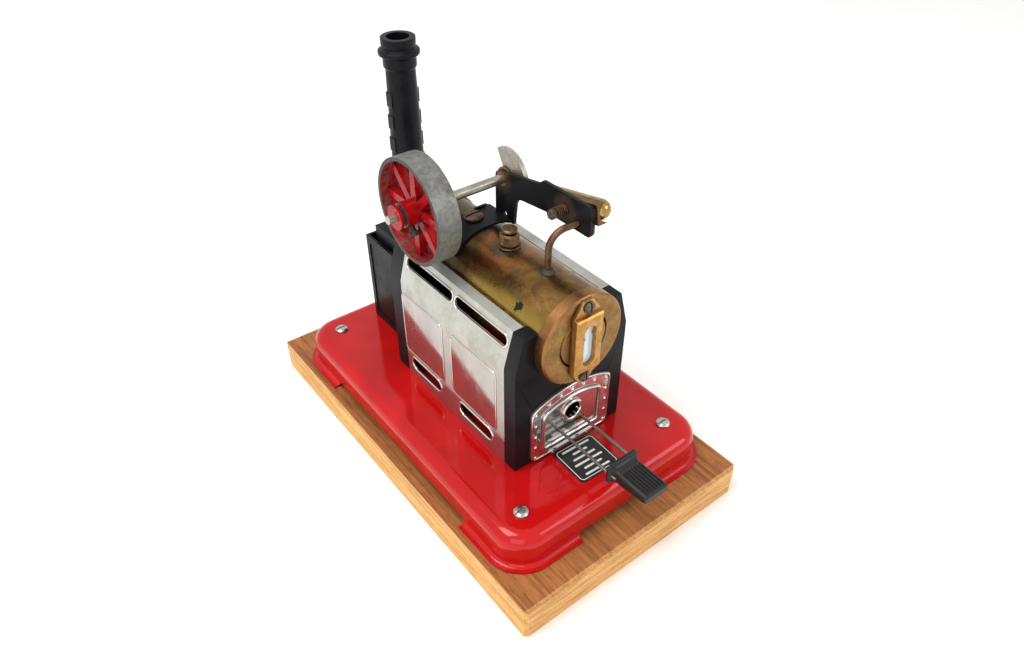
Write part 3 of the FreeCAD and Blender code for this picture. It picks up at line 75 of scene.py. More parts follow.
class Finish:
    """A procedural material with short calls for its nodes. Places and sizes are in millimetres."""

    def __init__(self, name):
        self.material = bpy.data.materials.new(name)
        self.material.use_nodes = True
        self.tree = self.material.node_tree
        self.skin = self.tree.nodes["Principled BSDF"]
        where = self.add("ShaderNodeTexCoord").outputs["Object"]
        self.place = self.scaled(where, (1 / MM,) * 3)
        self.facing = self.add("ShaderNodeNewGeometry").outputs["Normal"]

    def add(self, kind, **settings):
        made = self.tree.nodes.new(kind)
        for key, value in settings.items():
            setattr(made, key, value)
        return made

    def feed(self, socket, value):
        if isinstance(value, bpy.types.NodeSocket):
            self.tree.links.new(value, socket)
        elif isinstance(value, tuple) and len(value) == 3 and socket.type == "RGBA":
            socket.default_value = (*value, 1.0)
        else:
            socket.default_value = value

    def scaled(self, vector, scale, move=(0.0, 0.0, 0.0)):
        mapping = self.add("ShaderNodeMapping")
        self.feed(mapping.inputs["Vector"], vector)
        self.feed(mapping.inputs["Scale"], tuple(scale))
        self.feed(mapping.inputs["Location"], tuple(move))
        return mapping.outputs["Vector"]

    def noise(self, size, detail=4.0, rough=0.6, stretch=(1, 1, 1), move=0.0, warp=0.0):
        """Noise whose blobs are about `size` across, longer along an axis where stretch is over 1."""
        scale = [1 / (size * s) for s in stretch]
        made = self.add("ShaderNodeTexNoise")
        self.feed(made.inputs["Vector"], self.scaled(self.place, scale, (move, move * 0.7, move * 1.3)))
        self.feed(made.inputs["Scale"], 1.0)
        self.feed(made.inputs["Detail"], detail)
        self.feed(made.inputs["Roughness"], rough)
        self.feed(made.inputs["Distortion"], warp)
        return made.outputs["Fac"]

    def cells(self, size, move=0.0):
        """Distance from the middle of scattered cells about `size` across."""
        made = self.add("ShaderNodeTexVoronoi", feature="F1")
        self.feed(made.inputs["Vector"], self.scaled(self.place, (1 / size,) * 3, (move,) * 3))
        self.feed(made.inputs["Scale"], 1.0)
        return made.outputs["Distance"]

    def axis(self, letter, vector=None):
        """One part of a vector: of the place on the object where no vector is given."""
        parts = self.add("ShaderNodeSeparateXYZ")
        self.feed(parts.inputs["Vector"], self.place if vector is None else vector)
        return parts.outputs[letter]

    def math(self, operation, first, second=0.0):
        made = self.add("ShaderNodeMath", operation=operation)
        for socket, value in zip(made.inputs, (first, second)):
            self.feed(socket, value)
        return made.outputs["Value"]

    def plus(self, first, second):
        return self.math("ADD", first, second)

    def minus(self, first, second):
        return self.math("SUBTRACT", first, second)

    def times(self, first, second):
        return self.math("MULTIPLY", first, second)

    def step(self, value, low, high, to_low=0.0, to_high=1.0):
        """A smooth step from to_low to to_high as the value goes from low to high."""
        made = self.add("ShaderNodeMapRange", interpolation_type="SMOOTHSTEP")
        for key, number in (("Value", value), ("From Min", low), ("From Max", high),
                            ("To Min", to_low), ("To Max", to_high)):
            self.feed(made.inputs[key], number)
        return made.outputs["Result"]

    def blend(self, factor, first, second, kind="MIX"):
        made = self.add("ShaderNodeMix", data_type="RGBA", blend_type=kind)
        self.feed(made.inputs["Factor"], factor)
        self.feed([s for s in made.inputs if s.name == "A" and s.type == "RGBA"][0], first)
        self.feed([s for s in made.inputs if s.name == "B" and s.type == "RGBA"][0], second)
        return [s for s in made.outputs if s.type == "RGBA"][0]

    def reach(self, centre, flat=""):
        """Distance from a point, or from a line along the axis named by `flat`."""
        offset = self.add("ShaderNodeVectorMath", operation="SUBTRACT")
        self.feed(offset.inputs[0], self.place)
        self.feed(offset.inputs[1], tuple(centre))
        keep = self.add("ShaderNodeVectorMath", operation="MULTIPLY")
        self.feed(keep.inputs[0], offset.outputs["Vector"])
        self.feed(keep.inputs[1], tuple(0.0 if letter in flat else 1.0 for letter in "XYZ"))
        made = self.add("ShaderNodeVectorMath", operation="LENGTH")
        self.feed(made.inputs[0], keep.outputs["Vector"])
        return made.outputs["Value"]

    def edges(self, radius, low=0.03, high=0.25):
        """1 along sharp edges, fading out about a radius away."""
        soft = self.add("ShaderNodeBevel", samples=4)
        self.feed(soft.inputs["Radius"], radius * MM)
        turn = self.add("ShaderNodeVectorMath", operation="DOT_PRODUCT")
        self.feed(turn.inputs[0], soft.outputs["Normal"])
        self.feed(turn.inputs[1], self.facing)
        return self.step(self.minus(1.0, turn.outputs["Value"]), low, high)

    def corners(self, distance, low=0.35, high=0.85):
        """1 in corners and crevices, 0 on open surfaces."""
        dark = self.add("ShaderNodeAmbientOcclusion", samples=6)
        self.feed(dark.inputs["Distance"], distance * MM)
        return self.step(dark.outputs["AO"], low, high, 1.0, 0.0)

    def bumps(self, *layers):
        """Surface relief from (height, depth in mm) layers."""
        normal = None
        for height, depth in layers:
            made = self.add("ShaderNodeBump")
            self.feed(made.inputs["Height"], height)
            self.feed(made.inputs["Distance"], depth * MM)
            self.feed(made.inputs["Strength"], 1.0)
            if normal is not None:
                self.feed(made.inputs["Normal"], normal)
            normal = made.outputs["Normal"]
        self.feed(self.skin.inputs["Normal"], normal)

    def set(self, **values):
        """Feed the surface's inputs by their short names and hand back the finished material."""
        names = {"color": "Base Color", "rough": "Roughness", "metal": "Metallic", "coat": "Coat Weight",
                 "coat_rough": "Coat Roughness", "specular": "Specular IOR Level"}
        for key, value in values.items():
            self.feed(self.skin.inputs[names[key]], value)
        return self.material


def board_wood():
    """Brown quarter-sawn top, honey-coloured sides, pores along the board and end grain at its ends."""
    made = Finish("board_wood")
    top = made.step(made.axis("Z", made.facing), 0.5, 0.9)
    end = made.step(made.math("ABSOLUTE", made.axis("Y", made.facing)), 0.6, 0.9)
    grain = made.noise(2.2, 6, 0.65, (1, 26, 1), warp=0.4)
    pores = made.step(made.noise(0.45, 3, 0.6, (1, 14, 1), move=3.1), 0.56, 0.70)
    broad = made.noise(26, 2, 0.5, (1, 5, 1), move=7.7)
    rings = made.noise(1.5, 4, 0.6, (16, 1, 1), move=5.0)
    brown = made.blend(made.step(grain, 0.35, 0.7), (0.42, 0.170, 0.048), (0.19, 0.066, 0.018))
    brown = made.blend(made.step(broad, 0.35, 0.7, 0.0, 0.35), brown, (0.44, 0.21, 0.07))
    honey = made.blend(made.step(grain, 0.38, 0.68), (0.76, 0.44, 0.15), (0.55, 0.28, 0.075))
    cut = made.blend(made.step(rings, 0.4, 0.65), (0.74, 0.42, 0.15), (0.52, 0.26, 0.08))
    color = made.blend(top, made.blend(end, honey, cut), brown)
    color = made.blend(made.times(pores, 0.7), color, (0.09, 0.034, 0.013))
    color = made.blend(made.times(made.edges(1.4), 0.55), color, (0.78, 0.53, 0.26))
    made.bumps((grain, 0.10), (made.minus(1.0, pores), 0.08))
    return made.set(color=color, rough=made.step(grain, 0.3, 0.7, 0.42, 0.6), specular=0.4)


def red_enamel():
    """Thick gloss paint with a faint orange-peel surface, dust and dulled scuffs."""
    made = Finish("red_enamel")
    cloud = made.noise(34, 3, 0.5)
    scuff = made.step(made.noise(0.8, 3, 0.7, (1, 5, 1), move=2.0), 0.66, 0.78)
    dust = made.step(made.cells(2.6, move=1.7), 0.0, 0.055, 1.0, 0.0)
    color = made.blend(made.step(cloud, 0.3, 0.7), (0.52, 0.007, 0.008), (0.42, 0.005, 0.006))
    color = made.blend(made.times(dust, 0.35), color, (0.75, 0.45, 0.42))
    # Painted shade: the red darkens in corners and crevices.
    color = made.blend(made.times(made.corners(5.0, 0.25, 0.7), 0.45), color, (0.10, 0.004, 0.004))
    peel = made.noise(1.9, 2, 0.5)
    made.bumps((peel, 0.006), (dust, 0.02))
    return made.set(color=color, rough=made.plus(0.13, made.times(scuff, 0.12)),
                    coat=0.25, coat_rough=0.04, specular=0.32)


def plated_steel(name, base, dull, stain_and_shade, rough, streak=(1, 1, 1), dirt_and_shade_weight=0.5, soot=None):
    """Plated or plain steel: handling marks, dirt and painted shade in corners, soot behind the depth given
    as soot.
    """
    made = Finish(name)
    smear = made.noise(7.0, 5, 0.65, streak)
    pits = made.step(made.cells(1.5, move=4.0), 0.0, 0.09, 1.0, 0.0)
    fine = made.noise(0.35, 2, 0.6, streak, move=9.0)
    color = made.blend(made.step(smear, 0.35, 0.7), base, dull)
    # Painted shade: corners and crevices darken towards the stain colour; the same mask also makes them
    # rougher and less metallic, like dirt.
    dirt_and_shade = made.times(made.corners(2.2), dirt_and_shade_weight)
    spots = made.times(pits, made.step(made.noise(5.0, 3, 0.6, move=6.0), 0.5, 0.68))
    color = made.blend(made.math("MAXIMUM", dirt_and_shade, made.times(spots, 0.8)), color, stain_and_shade)
    made.bumps((fine, 0.006), (made.minus(1.0, spots), 0.015))
    roughness = made.plus(made.step(smear, 0.3, 0.75, rough * 0.75, rough * 1.35), made.times(dirt_and_shade, 0.3))
    metal = made.minus(1.0, made.times(dirt_and_shade, 0.5))
    if soot is not None:
        black = made.step(made.axis("Y"), soot, soot + 2.0)
        color = made.blend(black, color, (0.010, 0.009, 0.008))
        roughness = made.math("MAXIMUM", roughness, made.times(black, 0.9))
        metal = made.times(metal, made.minus(1.0, black))
    return made.set(color=color, rough=roughness, metal=metal)


SKIRT_LOW, SKIRT_HIGH = 12.5, 17.5
TWIST_LEVEL, TWIST_MIDDLE, TWIST_APART, TWIST = 35.0, 2.9, 22.0, 0.0030


def bright_panel():
    """Milky, worn nickel plate; the raised panels and the foot of the sheet still mirror the base."""
    made = Finish("bright_panel")
    low, high = extent("firebox_right_side")
    raised = made.step(made.math("ABSOLUTE", made.axis("X")), high.x - 0.20, high.x - 0.08)
    cloud = made.noise(13, 5, 0.62, (1, 1, 1.6))
    wipe = made.noise(1.1, 4, 0.65, (1, 1, 9), move=3.0)
    speck = made.step(made.cells(1.7, move=8.0), 0.0, 0.10, 1.0, 0.0)
    patch = made.step(made.noise(15, 5, 0.7, move=11.0), 0.52, 0.7)
    skirt = made.step(made.axis("Z"), low.z + SKIRT_HIGH, low.z + SKIRT_LOW)
    sheet = made.blend(made.step(cloud, 0.3, 0.72), (0.55, 0.55, 0.505), (0.44, 0.44, 0.40))
    sheet = made.blend(made.step(made.noise(2.6, 5, 0.75, move=14.0), 0.52, 0.75, 0.0, 0.4), sheet,
                       (0.70, 0.70, 0.66))
    sheet = made.blend(made.times(patch, 0.35), sheet, (0.36, 0.31, 0.21))
    bright = made.blend(made.step(cloud, 0.3, 0.72), (0.56, 0.53, 0.51), (0.46, 0.44, 0.42))
    mirror = made.math("MAXIMUM", raised, skirt)
    color = made.blend(mirror, sheet, bright)
    # Painted shade: corners and crevices darken to brown, as do the specks; the same mask also dulls the
    # metal there.
    grime_and_shade = made.times(made.corners(1.6), 0.8)
    speck = made.times(speck, made.step(cloud, 0.40, 0.62))
    color = made.blend(made.math("MAXIMUM", grime_and_shade, speck), color, (0.11, 0.075, 0.04))
    along = made.minus(made.axis("Y"), (low.y + high.y) / 2 + TWIST_MIDDLE)
    along = made.minus(along, made.times(made.math("SIGN", along), TWIST_APART))
    above = made.minus(made.axis("Z"), low.z + TWIST_LEVEL)
    bow = made.times(made.times(along, above), made.times(raised, TWIST))
    made.bumps((wipe, 0.003), (cloud, 0.02), (bow, 1.0))
    rough = made.plus(made.step(cloud, 0.3, 0.7, 0.42, 0.52), made.times(patch, 0.10))
    rough = made.minus(rough, made.times(raised, 0.37))
    rough = made.minus(rough, made.times(skirt, 0.30))
    metal = made.times(made.minus(1.0, made.times(grime_and_shade, 0.6)), made.plus(0.55, made.times(mirror, 0.37)))
    return made.set(color=color, rough=rough, metal=metal)


def black_paint(name, rough, bare, halos=(), wear=0.7):
    """Satin black stove paint, rubbed through at its edges and rusty round the fittings named in halos."""
    made = Finish(name)
    cloud = made.noise(9.0, 4, 0.6)
    grain = made.noise(0.55, 3, 0.6, move=2.0)
    worn = made.times(made.edges(0.5, 0.05, 0.3), made.step(made.noise(2.4, 4, 0.7, move=5.0), 0.42, 0.6))
    upward = made.step(made.axis("Z", made.facing), 0.3, 1.0)
    dust = made.times(upward, made.step(cloud, 0.35, 0.75, 0.0, 0.06))
    color = made.blend(made.step(cloud, 0.3, 0.7), (0.0045, 0.0045, 0.006), (0.010, 0.010, 0.013))
    color = made.blend(dust, color, (0.16, 0.155, 0.15))
    rust = made.noise(2.0, 5, 0.7, move=13.0)
    for node, near, far in halos:
        ring = made.plus(made.reach(centre_of(node), "X"), made.times(rust, 5.0))
        color = made.blend(made.step(ring, far + 2.5, near + 2.5, 0.0, 0.6), color, (0.085, 0.045, 0.024))
    color = made.blend(made.times(worn, wear), color, bare)
    made.bumps((grain, 0.012), (cloud, 0.03))
    roughness = made.plus(made.step(cloud, 0.3, 0.7, rough * 0.85, rough * 1.25), made.times(worn, 0.1))
    return made.set(color=color, rough=roughness, metal=made.times(worn, 0.6), specular=0.2)


def boiler_brass():
    """Heat-coloured brass: brown round the fittings, gold where it has stayed clean, one burnt spot."""
    made = Finish("boiler_brass")
    low, high = extent("boiler_shell")
    middle = (low.y + high.y) / 2
    cloud = made.noise(15, 6, 0.62, (1, 1.3, 1), warp=0.7)
    brush = made.noise(0.8, 4, 0.7, (7, 1, 7), move=3.0)
    mottle = made.noise(3.4, 5, 0.7, move=6.0, warp=0.5)
    color = made.blend(made.step(cloud, 0.36, 0.62), (0.29, 0.165, 0.050), (0.14, 0.080, 0.032))
    color = made.blend(made.step(mottle, 0.5, 0.72, 0.0, 0.6), color, (0.10, 0.062, 0.03))
    clean = made.times(made.step(made.axis("Z"), high.z - 4.0, high.z - 14.0),
                       made.step(made.axis("Y"), middle + 5.5, middle - 12.5))
    color = made.blend(made.times(clean, 0.85), color, (0.50, 0.345, 0.085))
    uneven = made.plus(made.axis("Y"), made.times(cloud, 26.0))
    rear = made.step(uneven, middle + 3.5, middle + 25.5)
    color = made.blend(made.times(rear, 0.85), color, (0.075, 0.050, 0.028))
    near = made.plus(made.reach(centre_of("safety_valve_bush")), made.times(mottle, 9.0))
    color = made.blend(made.step(near, 21.0, 14.5, 0.0, 0.85), color, (0.40, 0.145, 0.045))
    color = made.blend(made.step(near, 16.5, 10.5), color, (0.15, 0.125, 0.085))
    color = made.blend(made.step(near, 12.0, 9.5, 0.0, 0.6), color, (0.13, 0.20, 0.17))
    joint = made.plus(made.reach(centre_of("steam_pipe_collar")), made.times(mottle, 5.0))
    color = made.blend(made.step(joint, 8.5, 4.5, 0.0, 0.85), color, (0.12, 0.12, 0.10))
    burn = Vector((low.x * 0.78, low.y + 22.0, low.z + 34.0))
    frayed = made.times(made.noise(2.0, 4, 0.7, move=12.0), 5.0)
    for shift in (-2.6, 0.0, 2.4):
        spot = made.plus(made.reach(burn + Vector((-0.1 * shift, -0.55 * shift, shift))), frayed)
        color = made.blend(made.step(spot, 5.0, 4.4), color, (0.040, 0.045, 0.030))
    made.bumps((brush, 0.004), (mottle, 0.012))
    return made.set(color=color, rough=made.step(mottle, 0.3, 0.72, 0.22, 0.40), metal=0.92)


def tarnished(name, bright, mid, dark, rough, size=6.0, wear=0.5):
    """Brass or bronze with brown tarnish in its hollows and polished edges."""
    made = Finish(name)
    cloud = made.noise(size, 5, 0.65, warp=0.5)
    fine = made.noise(size * 0.16, 4, 0.7, move=4.0)
    color = made.blend(made.step(cloud, 0.36, 0.66), mid, bright)
    color = made.blend(made.step(fine, 0.54, 0.72, 0.0, 0.55), color, dark)
    color = made.blend(made.times(made.corners(1.6), 0.8), color, dark)
    polished = tuple(min(1.0, c * 1.35) for c in bright)
    color = made.blend(made.times(made.edges(0.35), wear), color, polished)
    made.bumps((fine, 0.012), (cloud, 0.02))
    return made.set(color=color, rough=made.step(fine, 0.3, 0.75, rough * 0.8, rough * 1.4), metal=0.95)


CAP_CIRCLE = 13.5


def front_cap_brass():
    """Olive-brown tarnish on the boiler's end cap, redder at its rim and dark in the pressed circle."""
    made = Finish("front_cap_brass")
    low, high = extent("boiler_front_cap")
    outer = (high.x - low.x) / 2
    away = made.reach((low + high) / 2, "Y")
    cloud = made.noise(8.0, 5, 0.65, warp=0.6)
    fine = made.noise(1.3, 4, 0.7, move=4.0)
    color = made.blend(made.step(cloud, 0.36, 0.66), (0.25, 0.145, 0.052), (0.36, 0.215, 0.075))
    color = made.blend(made.step(fine, 0.52, 0.72, 0.0, 0.5), color, (0.14, 0.075, 0.032))
    rim = made.step(made.plus(away, made.times(cloud, 3.0)), outer - 1.6, outer + 0.8)
    color = made.blend(made.times(rim, 0.6), color, (0.36, 0.165, 0.07))
    circle = made.step(made.math("ABSOLUTE", made.minus(away, CAP_CIRCLE)), 0.75, 0.25)
    color = made.blend(made.times(circle, 0.75), color, (0.07, 0.035, 0.018))
    color = made.blend(made.times(made.corners(2.0), 0.8), color, (0.07, 0.04, 0.02))
    made.bumps((fine, 0.010), (cloud, 0.02))
    return made.set(color=color, rough=made.step(fine, 0.3, 0.75, 0.26, 0.42), metal=0.93)


def sight_glass():
    """Glass over pale paper: a milky blue-white face with faint streaks and a greenish water line."""
    made = Finish("sight_glass")
    streak = made.noise(1.6, 4, 0.6, (1, 1, 6))
    color = made.blend(made.step(streak, 0.35, 0.7), (0.60, 0.70, 0.80), (0.78, 0.84, 0.88))
    low, high = extent("sight_glass_pane")
    depth = made.step(made.axis("Z"), low.z + 3.0, high.z - 4.0)
    color = made.blend(made.times(depth, 0.25), color, (0.42, 0.52, 0.58))
    made.bumps((streak, 0.004))
    return made.set(color=color, rough=0.12, coat=1.0, coat_rough=0.03)


def gasket_fibre():
    made = Finish("gasket_fibre")
    fibre = made.noise(0.5, 4, 0.7)
    color = made.blend(fibre, (0.045, 0.035, 0.028), (0.11, 0.085, 0.065))
    made.bumps((fibre, 0.03))
    return made.set(color=color, rough=0.85)


def flywheel_paint():
    """Gloss red inside the rim and on the hub; the rim itself is bare grey steel with rust spots."""
    made = Finish("flywheel_red")
    low, high = extent("flywheel")
    outer = (high.z - low.z) / 2
    from_axis = made.reach(centre_of("crankshaft"), "X")
    uneven = made.plus(from_axis, made.times(made.noise(3.0, 3, 0.6), 0.25))
    bare = made.step(uneven, outer - 1.85, outer - 1.65)
    belt_wide = made.times(made.step(made.axis("X"), low.x + 1.5, low.x + 1.7),
                           made.step(made.axis("X"), low.x + 3.8, low.x + 3.5))
    groove = made.times(made.step(from_axis, 5.9, 5.6), belt_wide)
    turned = made.noise(3.2, 6, 0.75, move=5.0, warp=0.3)
    rust = made.step(made.noise(5.5, 7, 0.75, move=2.6), 0.53, 0.66)
    steel = made.blend(made.step(turned, 0.32, 0.68), (0.27, 0.275, 0.255), (0.165, 0.168, 0.15))
    steel = made.blend(made.step(made.cells(2.3, move=3.0), 0.14, 0.05, 0.0, 0.5), steel, (0.10, 0.06, 0.035))
    steel = made.blend(made.times(rust, 0.75), steel, (0.13, 0.078, 0.045))
    side = made.step(made.math("ABSOLUTE", made.axis("X", made.facing)), 0.6, 0.85)
    steel = made.blend(made.times(side, 0.8), steel, (0.045, 0.047, 0.046))
    cloud = made.noise(4.0, 4, 0.6, move=8.0)
    red = made.blend(made.step(cloud, 0.35, 0.7), (0.40, 0.006, 0.008), (0.24, 0.004, 0.006))
    chips = made.times(made.edges(0.35, 0.08, 0.3), made.step(made.noise(1.1, 3, 0.7, move=3.0), 0.55, 0.66))
    red = made.blend(made.times(chips, 0.8), red, (0.52, 0.30, 0.27))
    # Painted shade: the red darkens in corners and crevices inside the rim.
    red = made.blend(made.times(made.corners(4.0), 0.7), red, (0.09, 0.004, 0.004))
    # Painted shade: the belt groove on the hub is painted near-black.
    red = made.blend(groove, red, (0.035, 0.05, 0.055))
    color = made.blend(bare, red, steel)
    made.bumps((turned, 0.004), (cloud, 0.03))
    rough = made.plus(0.2, made.times(bare, made.step(rust, 0.0, 1.0, 0.24, 0.5)))
    metal = made.times(bare, made.minus(0.5, made.times(rust, 0.4)))
    return made.set(color=color, rough=rough, metal=metal, specular=0.3)


def rusty_steel(name, clean, dull, rust, rough=0.5):
    """Steel under an uneven skin of brown rust."""
    made = Finish(name)
    cloud = made.noise(2.2, 5, 0.7)
    fine = made.noise(0.4, 4, 0.7, move=3.0)
    color = made.blend(made.step(cloud, 0.38, 0.62), dull, clean)
    color = made.blend(made.step(fine, 0.46, 0.66, 0.0, 0.8), color, rust)
    color = made.blend(made.times(made.corners(1.2), 0.7), color, tuple(0.4 * c for c in rust))
    made.bumps((fine, 0.05), (cloud, 0.05))
    return made.set(color=color, rough=made.step(fine, 0.3, 0.7, rough * 0.75, rough * 1.35), metal=0.6)


def grip_plastic():
    made = Finish("grip_plastic")
    cloud = made.noise(5.0, 3, 0.6)
    grain = made.noise(0.3, 3, 0.6, move=3.0)
    color = made.blend(cloud, (0.008, 0.008, 0.009), (0.016, 0.015, 0.015))
    dust = made.times(made.corners(1.5, 0.3, 0.8), 0.16)
    color = made.blend(dust, color, (0.22, 0.19, 0.15))
    color = made.blend(made.times(made.edges(0.4), 0.22), color, (0.16, 0.16, 0.16))
    made.bumps((grain, 0.01))
    return made.set(color=color, rough=made.step(cloud, 0.3, 0.7, 0.36, 0.5))


def label_black():
    made = Finish("label_black")
    cloud = made.noise(4.0, 4, 0.6)
    rub = made.times(made.edges(0.5), made.step(made.noise(1.2, 4, 0.7), 0.45, 0.6))
    color = made.blend(cloud, (0.012, 0.012, 0.013), (0.022, 0.022, 0.022))
    color = made.blend(made.times(rub, 0.8), color, (0.25, 0.24, 0.23))
    made.bumps((made.noise(0.5, 3, 0.6), 0.008))
    return made.set(color=color, rough=made.step(cloud, 0.3, 0.7, 0.28, 0.42))


def label_white():
    made = Finish("label_white")
    rub = made.step(made.noise(0.8, 4, 0.7), 0.58, 0.7)
    color = made.blend(made.times(rub, 0.7), (0.72, 0.71, 0.68), (0.16, 0.15, 0.14))
    made.bumps((rub, 0.01))
    return made.set(color=color, rough=0.45)


def floor_white():
    made = Finish("floor_white")
    cloud = made.noise(90, 3, 0.5)
    color = made.blend(cloud, (0.93, 0.93, 0.92), (0.90, 0.90, 0.89))
    return made.set(color=color, rough=0.9, specular=0.1)


DOOR_BACK = extent("burner_door")[1].y

# Metals give a bright, a middle and a dark colour, steels a clean, a dull and a stain or rust colour.
# Plated steels also use their stain colour for painted shade in their corners.
MATERIALS = {
    "board_wood": board_wood(),
    "red_enamel": red_enamel(),
    "screw_steel": plated_steel(
        "screw_steel", (0.62, 0.61, 0.57), (0.42, 0.41, 0.38), (0.10, 0.085, 0.07), 0.3),
    "black_casting": black_paint("black_casting", 0.36, (0.20, 0.17, 0.14)),
    "bright_panel": bright_panel(),
    "boiler_brass": boiler_brass(),
    "cap_bronze": tarnished(
        "cap_bronze", (0.50, 0.285, 0.10), (0.36, 0.185, 0.062), (0.15, 0.075, 0.032), 0.3, 9.0),
    "glass_frame_brass": tarnished(
        "glass_frame_brass", (0.60, 0.36, 0.13), (0.46, 0.25, 0.08), (0.16, 0.075, 0.03), 0.36, 4.0, 0.6),
    "sight_glass": sight_glass(),
    "gasket_fibre": gasket_fibre(),
    "valve_brass": tarnished(
        "valve_brass", (0.32, 0.205, 0.095), (0.17, 0.110, 0.058), (0.05, 0.045, 0.030), 0.45, 2.0),
    "pipe_copper": tarnished(
        "pipe_copper", (0.23, 0.125, 0.075), (0.125, 0.078, 0.052), (0.05, 0.036, 0.028), 0.40, 4.0, 0.2),
    "black_frame": black_paint(
        "black_frame", 0.38, (0.17, 0.11, 0.07),
        (("trunnion_bolt", 4.0, 9.0), ("right_crankshaft_bush", 5.0, 8.0)), 0.9),
    "rusty_steel": rusty_steel(
        "rusty_steel", (0.20, 0.13, 0.09), (0.11, 0.075, 0.055), (0.10, 0.042, 0.022)),
    "bearing_bronze": tarnished(
        "bearing_bronze", (0.40, 0.24, 0.12), (0.26, 0.15, 0.08), (0.08, 0.05, 0.03), 0.4, 3.0),
    "shaft_steel": plated_steel(
        "shaft_steel", (0.54, 0.51, 0.44), (0.34, 0.32, 0.27), (0.13, 0.085, 0.05), 0.42, (2, 1, 1), 0.7),
    "flywheel_red": flywheel_paint(),
    "cylinder_brass": tarnished(
        "cylinder_brass", (0.56, 0.40, 0.15), (0.38, 0.26, 0.095), (0.11, 0.07, 0.035), 0.26, 5.0, 0.3),
    "burner_chrome": plated_steel(
        "burner_chrome", (0.78, 0.76, 0.75), (0.60, 0.58, 0.57), (0.16, 0.10, 0.06), 0.12, dirt_and_shade_weight=0.85),
    "tray_steel": plated_steel(
        "tray_steel", (0.16, 0.15, 0.13), (0.075, 0.070, 0.062), (0.03, 0.025, 0.02), 0.6, soot=DOOR_BACK),
    "wire_steel": plated_steel(
        "wire_steel", (0.27, 0.255, 0.225), (0.16, 0.148, 0.127), (0.07, 0.053, 0.04), 0.42, (1, 6, 1),
        soot=DOOR_BACK),
    "grip_plastic": grip_plastic(),
    "label_black": label_black(),
}
LABEL_WHITE = label_white()
# A brighter copy of the panel nickel for the rolled lips and pressed lines: painted highlight.
PANEL_LIP_HIGHLIGHT = plated_steel(
    "panel_lip", (0.76, 0.75, 0.70), (0.58, 0.56, 0.50), (0.12, 0.08, 0.045), 0.24, dirt_and_shade_weight=0.6)
FITTINGS = {
    "boiler_front_cap": front_cap_brass(),
    "sight_glass_screws": rusty_steel(
        "dark_screw", (0.20, 0.17, 0.14), (0.11, 0.09, 0.07), (0.07, 0.045, 0.03), 0.36),
    "crank_web": rusty_steel(
        "web_nickel", (0.46, 0.45, 0.40), (0.36, 0.34, 0.29), (0.26, 0.22, 0.16), 0.36),
    "cylinder_port_block": tarnished(
        "port_brown", (0.26, 0.165, 0.07), (0.16, 0.098, 0.045), (0.06, 0.036, 0.02), 0.45, 4.0, 0.4),
    "port_plate": tarnished(
        "plate_brown", (0.15, 0.09, 0.045), (0.09, 0.05, 0.026), (0.035, 0.02, 0.014), 0.45, 4.0, 0.4),
    "steam_pipe_collar": rusty_steel(
        "solder", (0.12, 0.115, 0.10), (0.07, 0.062, 0.05), (0.05, 0.035, 0.022), 0.6),
    "flywheel_set_screw": rusty_steel(
        "black_screw", (0.09, 0.07, 0.06), (0.05, 0.04, 0.035), (0.05, 0.025, 0.018)),
}


def dress_frame():
    """Give every CAD node the procedural material of its slot, or the one of its fitting."""
    for node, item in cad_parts.items():
        for slot in item.material_slots:
            slot.material = FITTINGS.get(node) or MATERIALS[slot.material.name.split(".")[0]]


SOFT_ANGLE = math.radians(38.0)
SOFT_EDGES = {
    "wooden_board": 0.9, "base_screws": 0.25, "firebox_front_end": 0.5, "firebox_rear_end": 0.5,
    "firebox_left_side": 0.16, "firebox_right_side": 0.16, "chimney_base": 0.5, "engine_frame": 0.22,
    "sight_glass_frame": 0.35, "sight_glass_screws": 0.2, "cylinder_port_block": 0.35, "port_plate": 0.2,
    "crank_web": 0.22, "flywheel": 0.4, "burner_door": 0.2, "trunnion_nut": 0.2, "trunnion_bolt": 0.2,
    "frame_screw": 0.25, "label_plate": 0.15, "crankshaft": 0.25, "flywheel_set_screw": 0.25,
    "safety_valve_spindle": 0.2, "safety_valve_bush": 0.2, "chimney_stack": 0.3, "boiler_front_cap": 0.3,
    "boiler_rear_cap": 0.3, "burner_tray": 0.25, "piston_rod": 0.2,
}


def soften_edges():
    """Round the sharp edges of CAD nodes with modifiers; their meshes stay as they are."""
    for node, width in SOFT_EDGES.items():
        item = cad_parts[node]
        weld = item.modifiers.new("weld", "WELD")
        weld.merge_threshold = 0.002 * MM
        bevel = item.modifiers.new("rounded_edges", "BEVEL")
        bevel.width = width * MM
        bevel.segments = 2
        bevel.limit_method = "ANGLE"
        bevel.angle_limit = SOFT_ANGLE
        bevel.use_clamp_overlap = True
        item.modifiers.new("flat_faces", "WEIGHTED_NORMAL").keep_sharp = False


# ---- piece building ------------------------------------------------------------------------------

def piece(name, points, faces, body, slot, material=None, smooth=True):
    """A mesh in the row frame that rides on a body. Points are in millimetres."""
    mesh = bpy.data.meshes.new(name)
    mesh.from_pydata([tuple(Vector(p) * MM) for p in points], [], faces)
    mesh.validate()
    mesh.update()
    mesh.polygons.foreach_set("use_smooth", [smooth] * len(mesh.polygons))
    made = bpy.data.objects.new(name, mesh)
    bpy.context.scene.collection.objects.link(made)
    made.data.materials.append(material or MATERIALS[slot])
    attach(made, body)
    return made


def merged(parts):
    """Join several (points, faces) pairs into one."""
    points, faces = [], []
    for some_points, some_faces in parts:
        start = len(points)
        points += some_points
        faces += [tuple(start + corner for corner in face) for face in some_faces]
    return points, faces


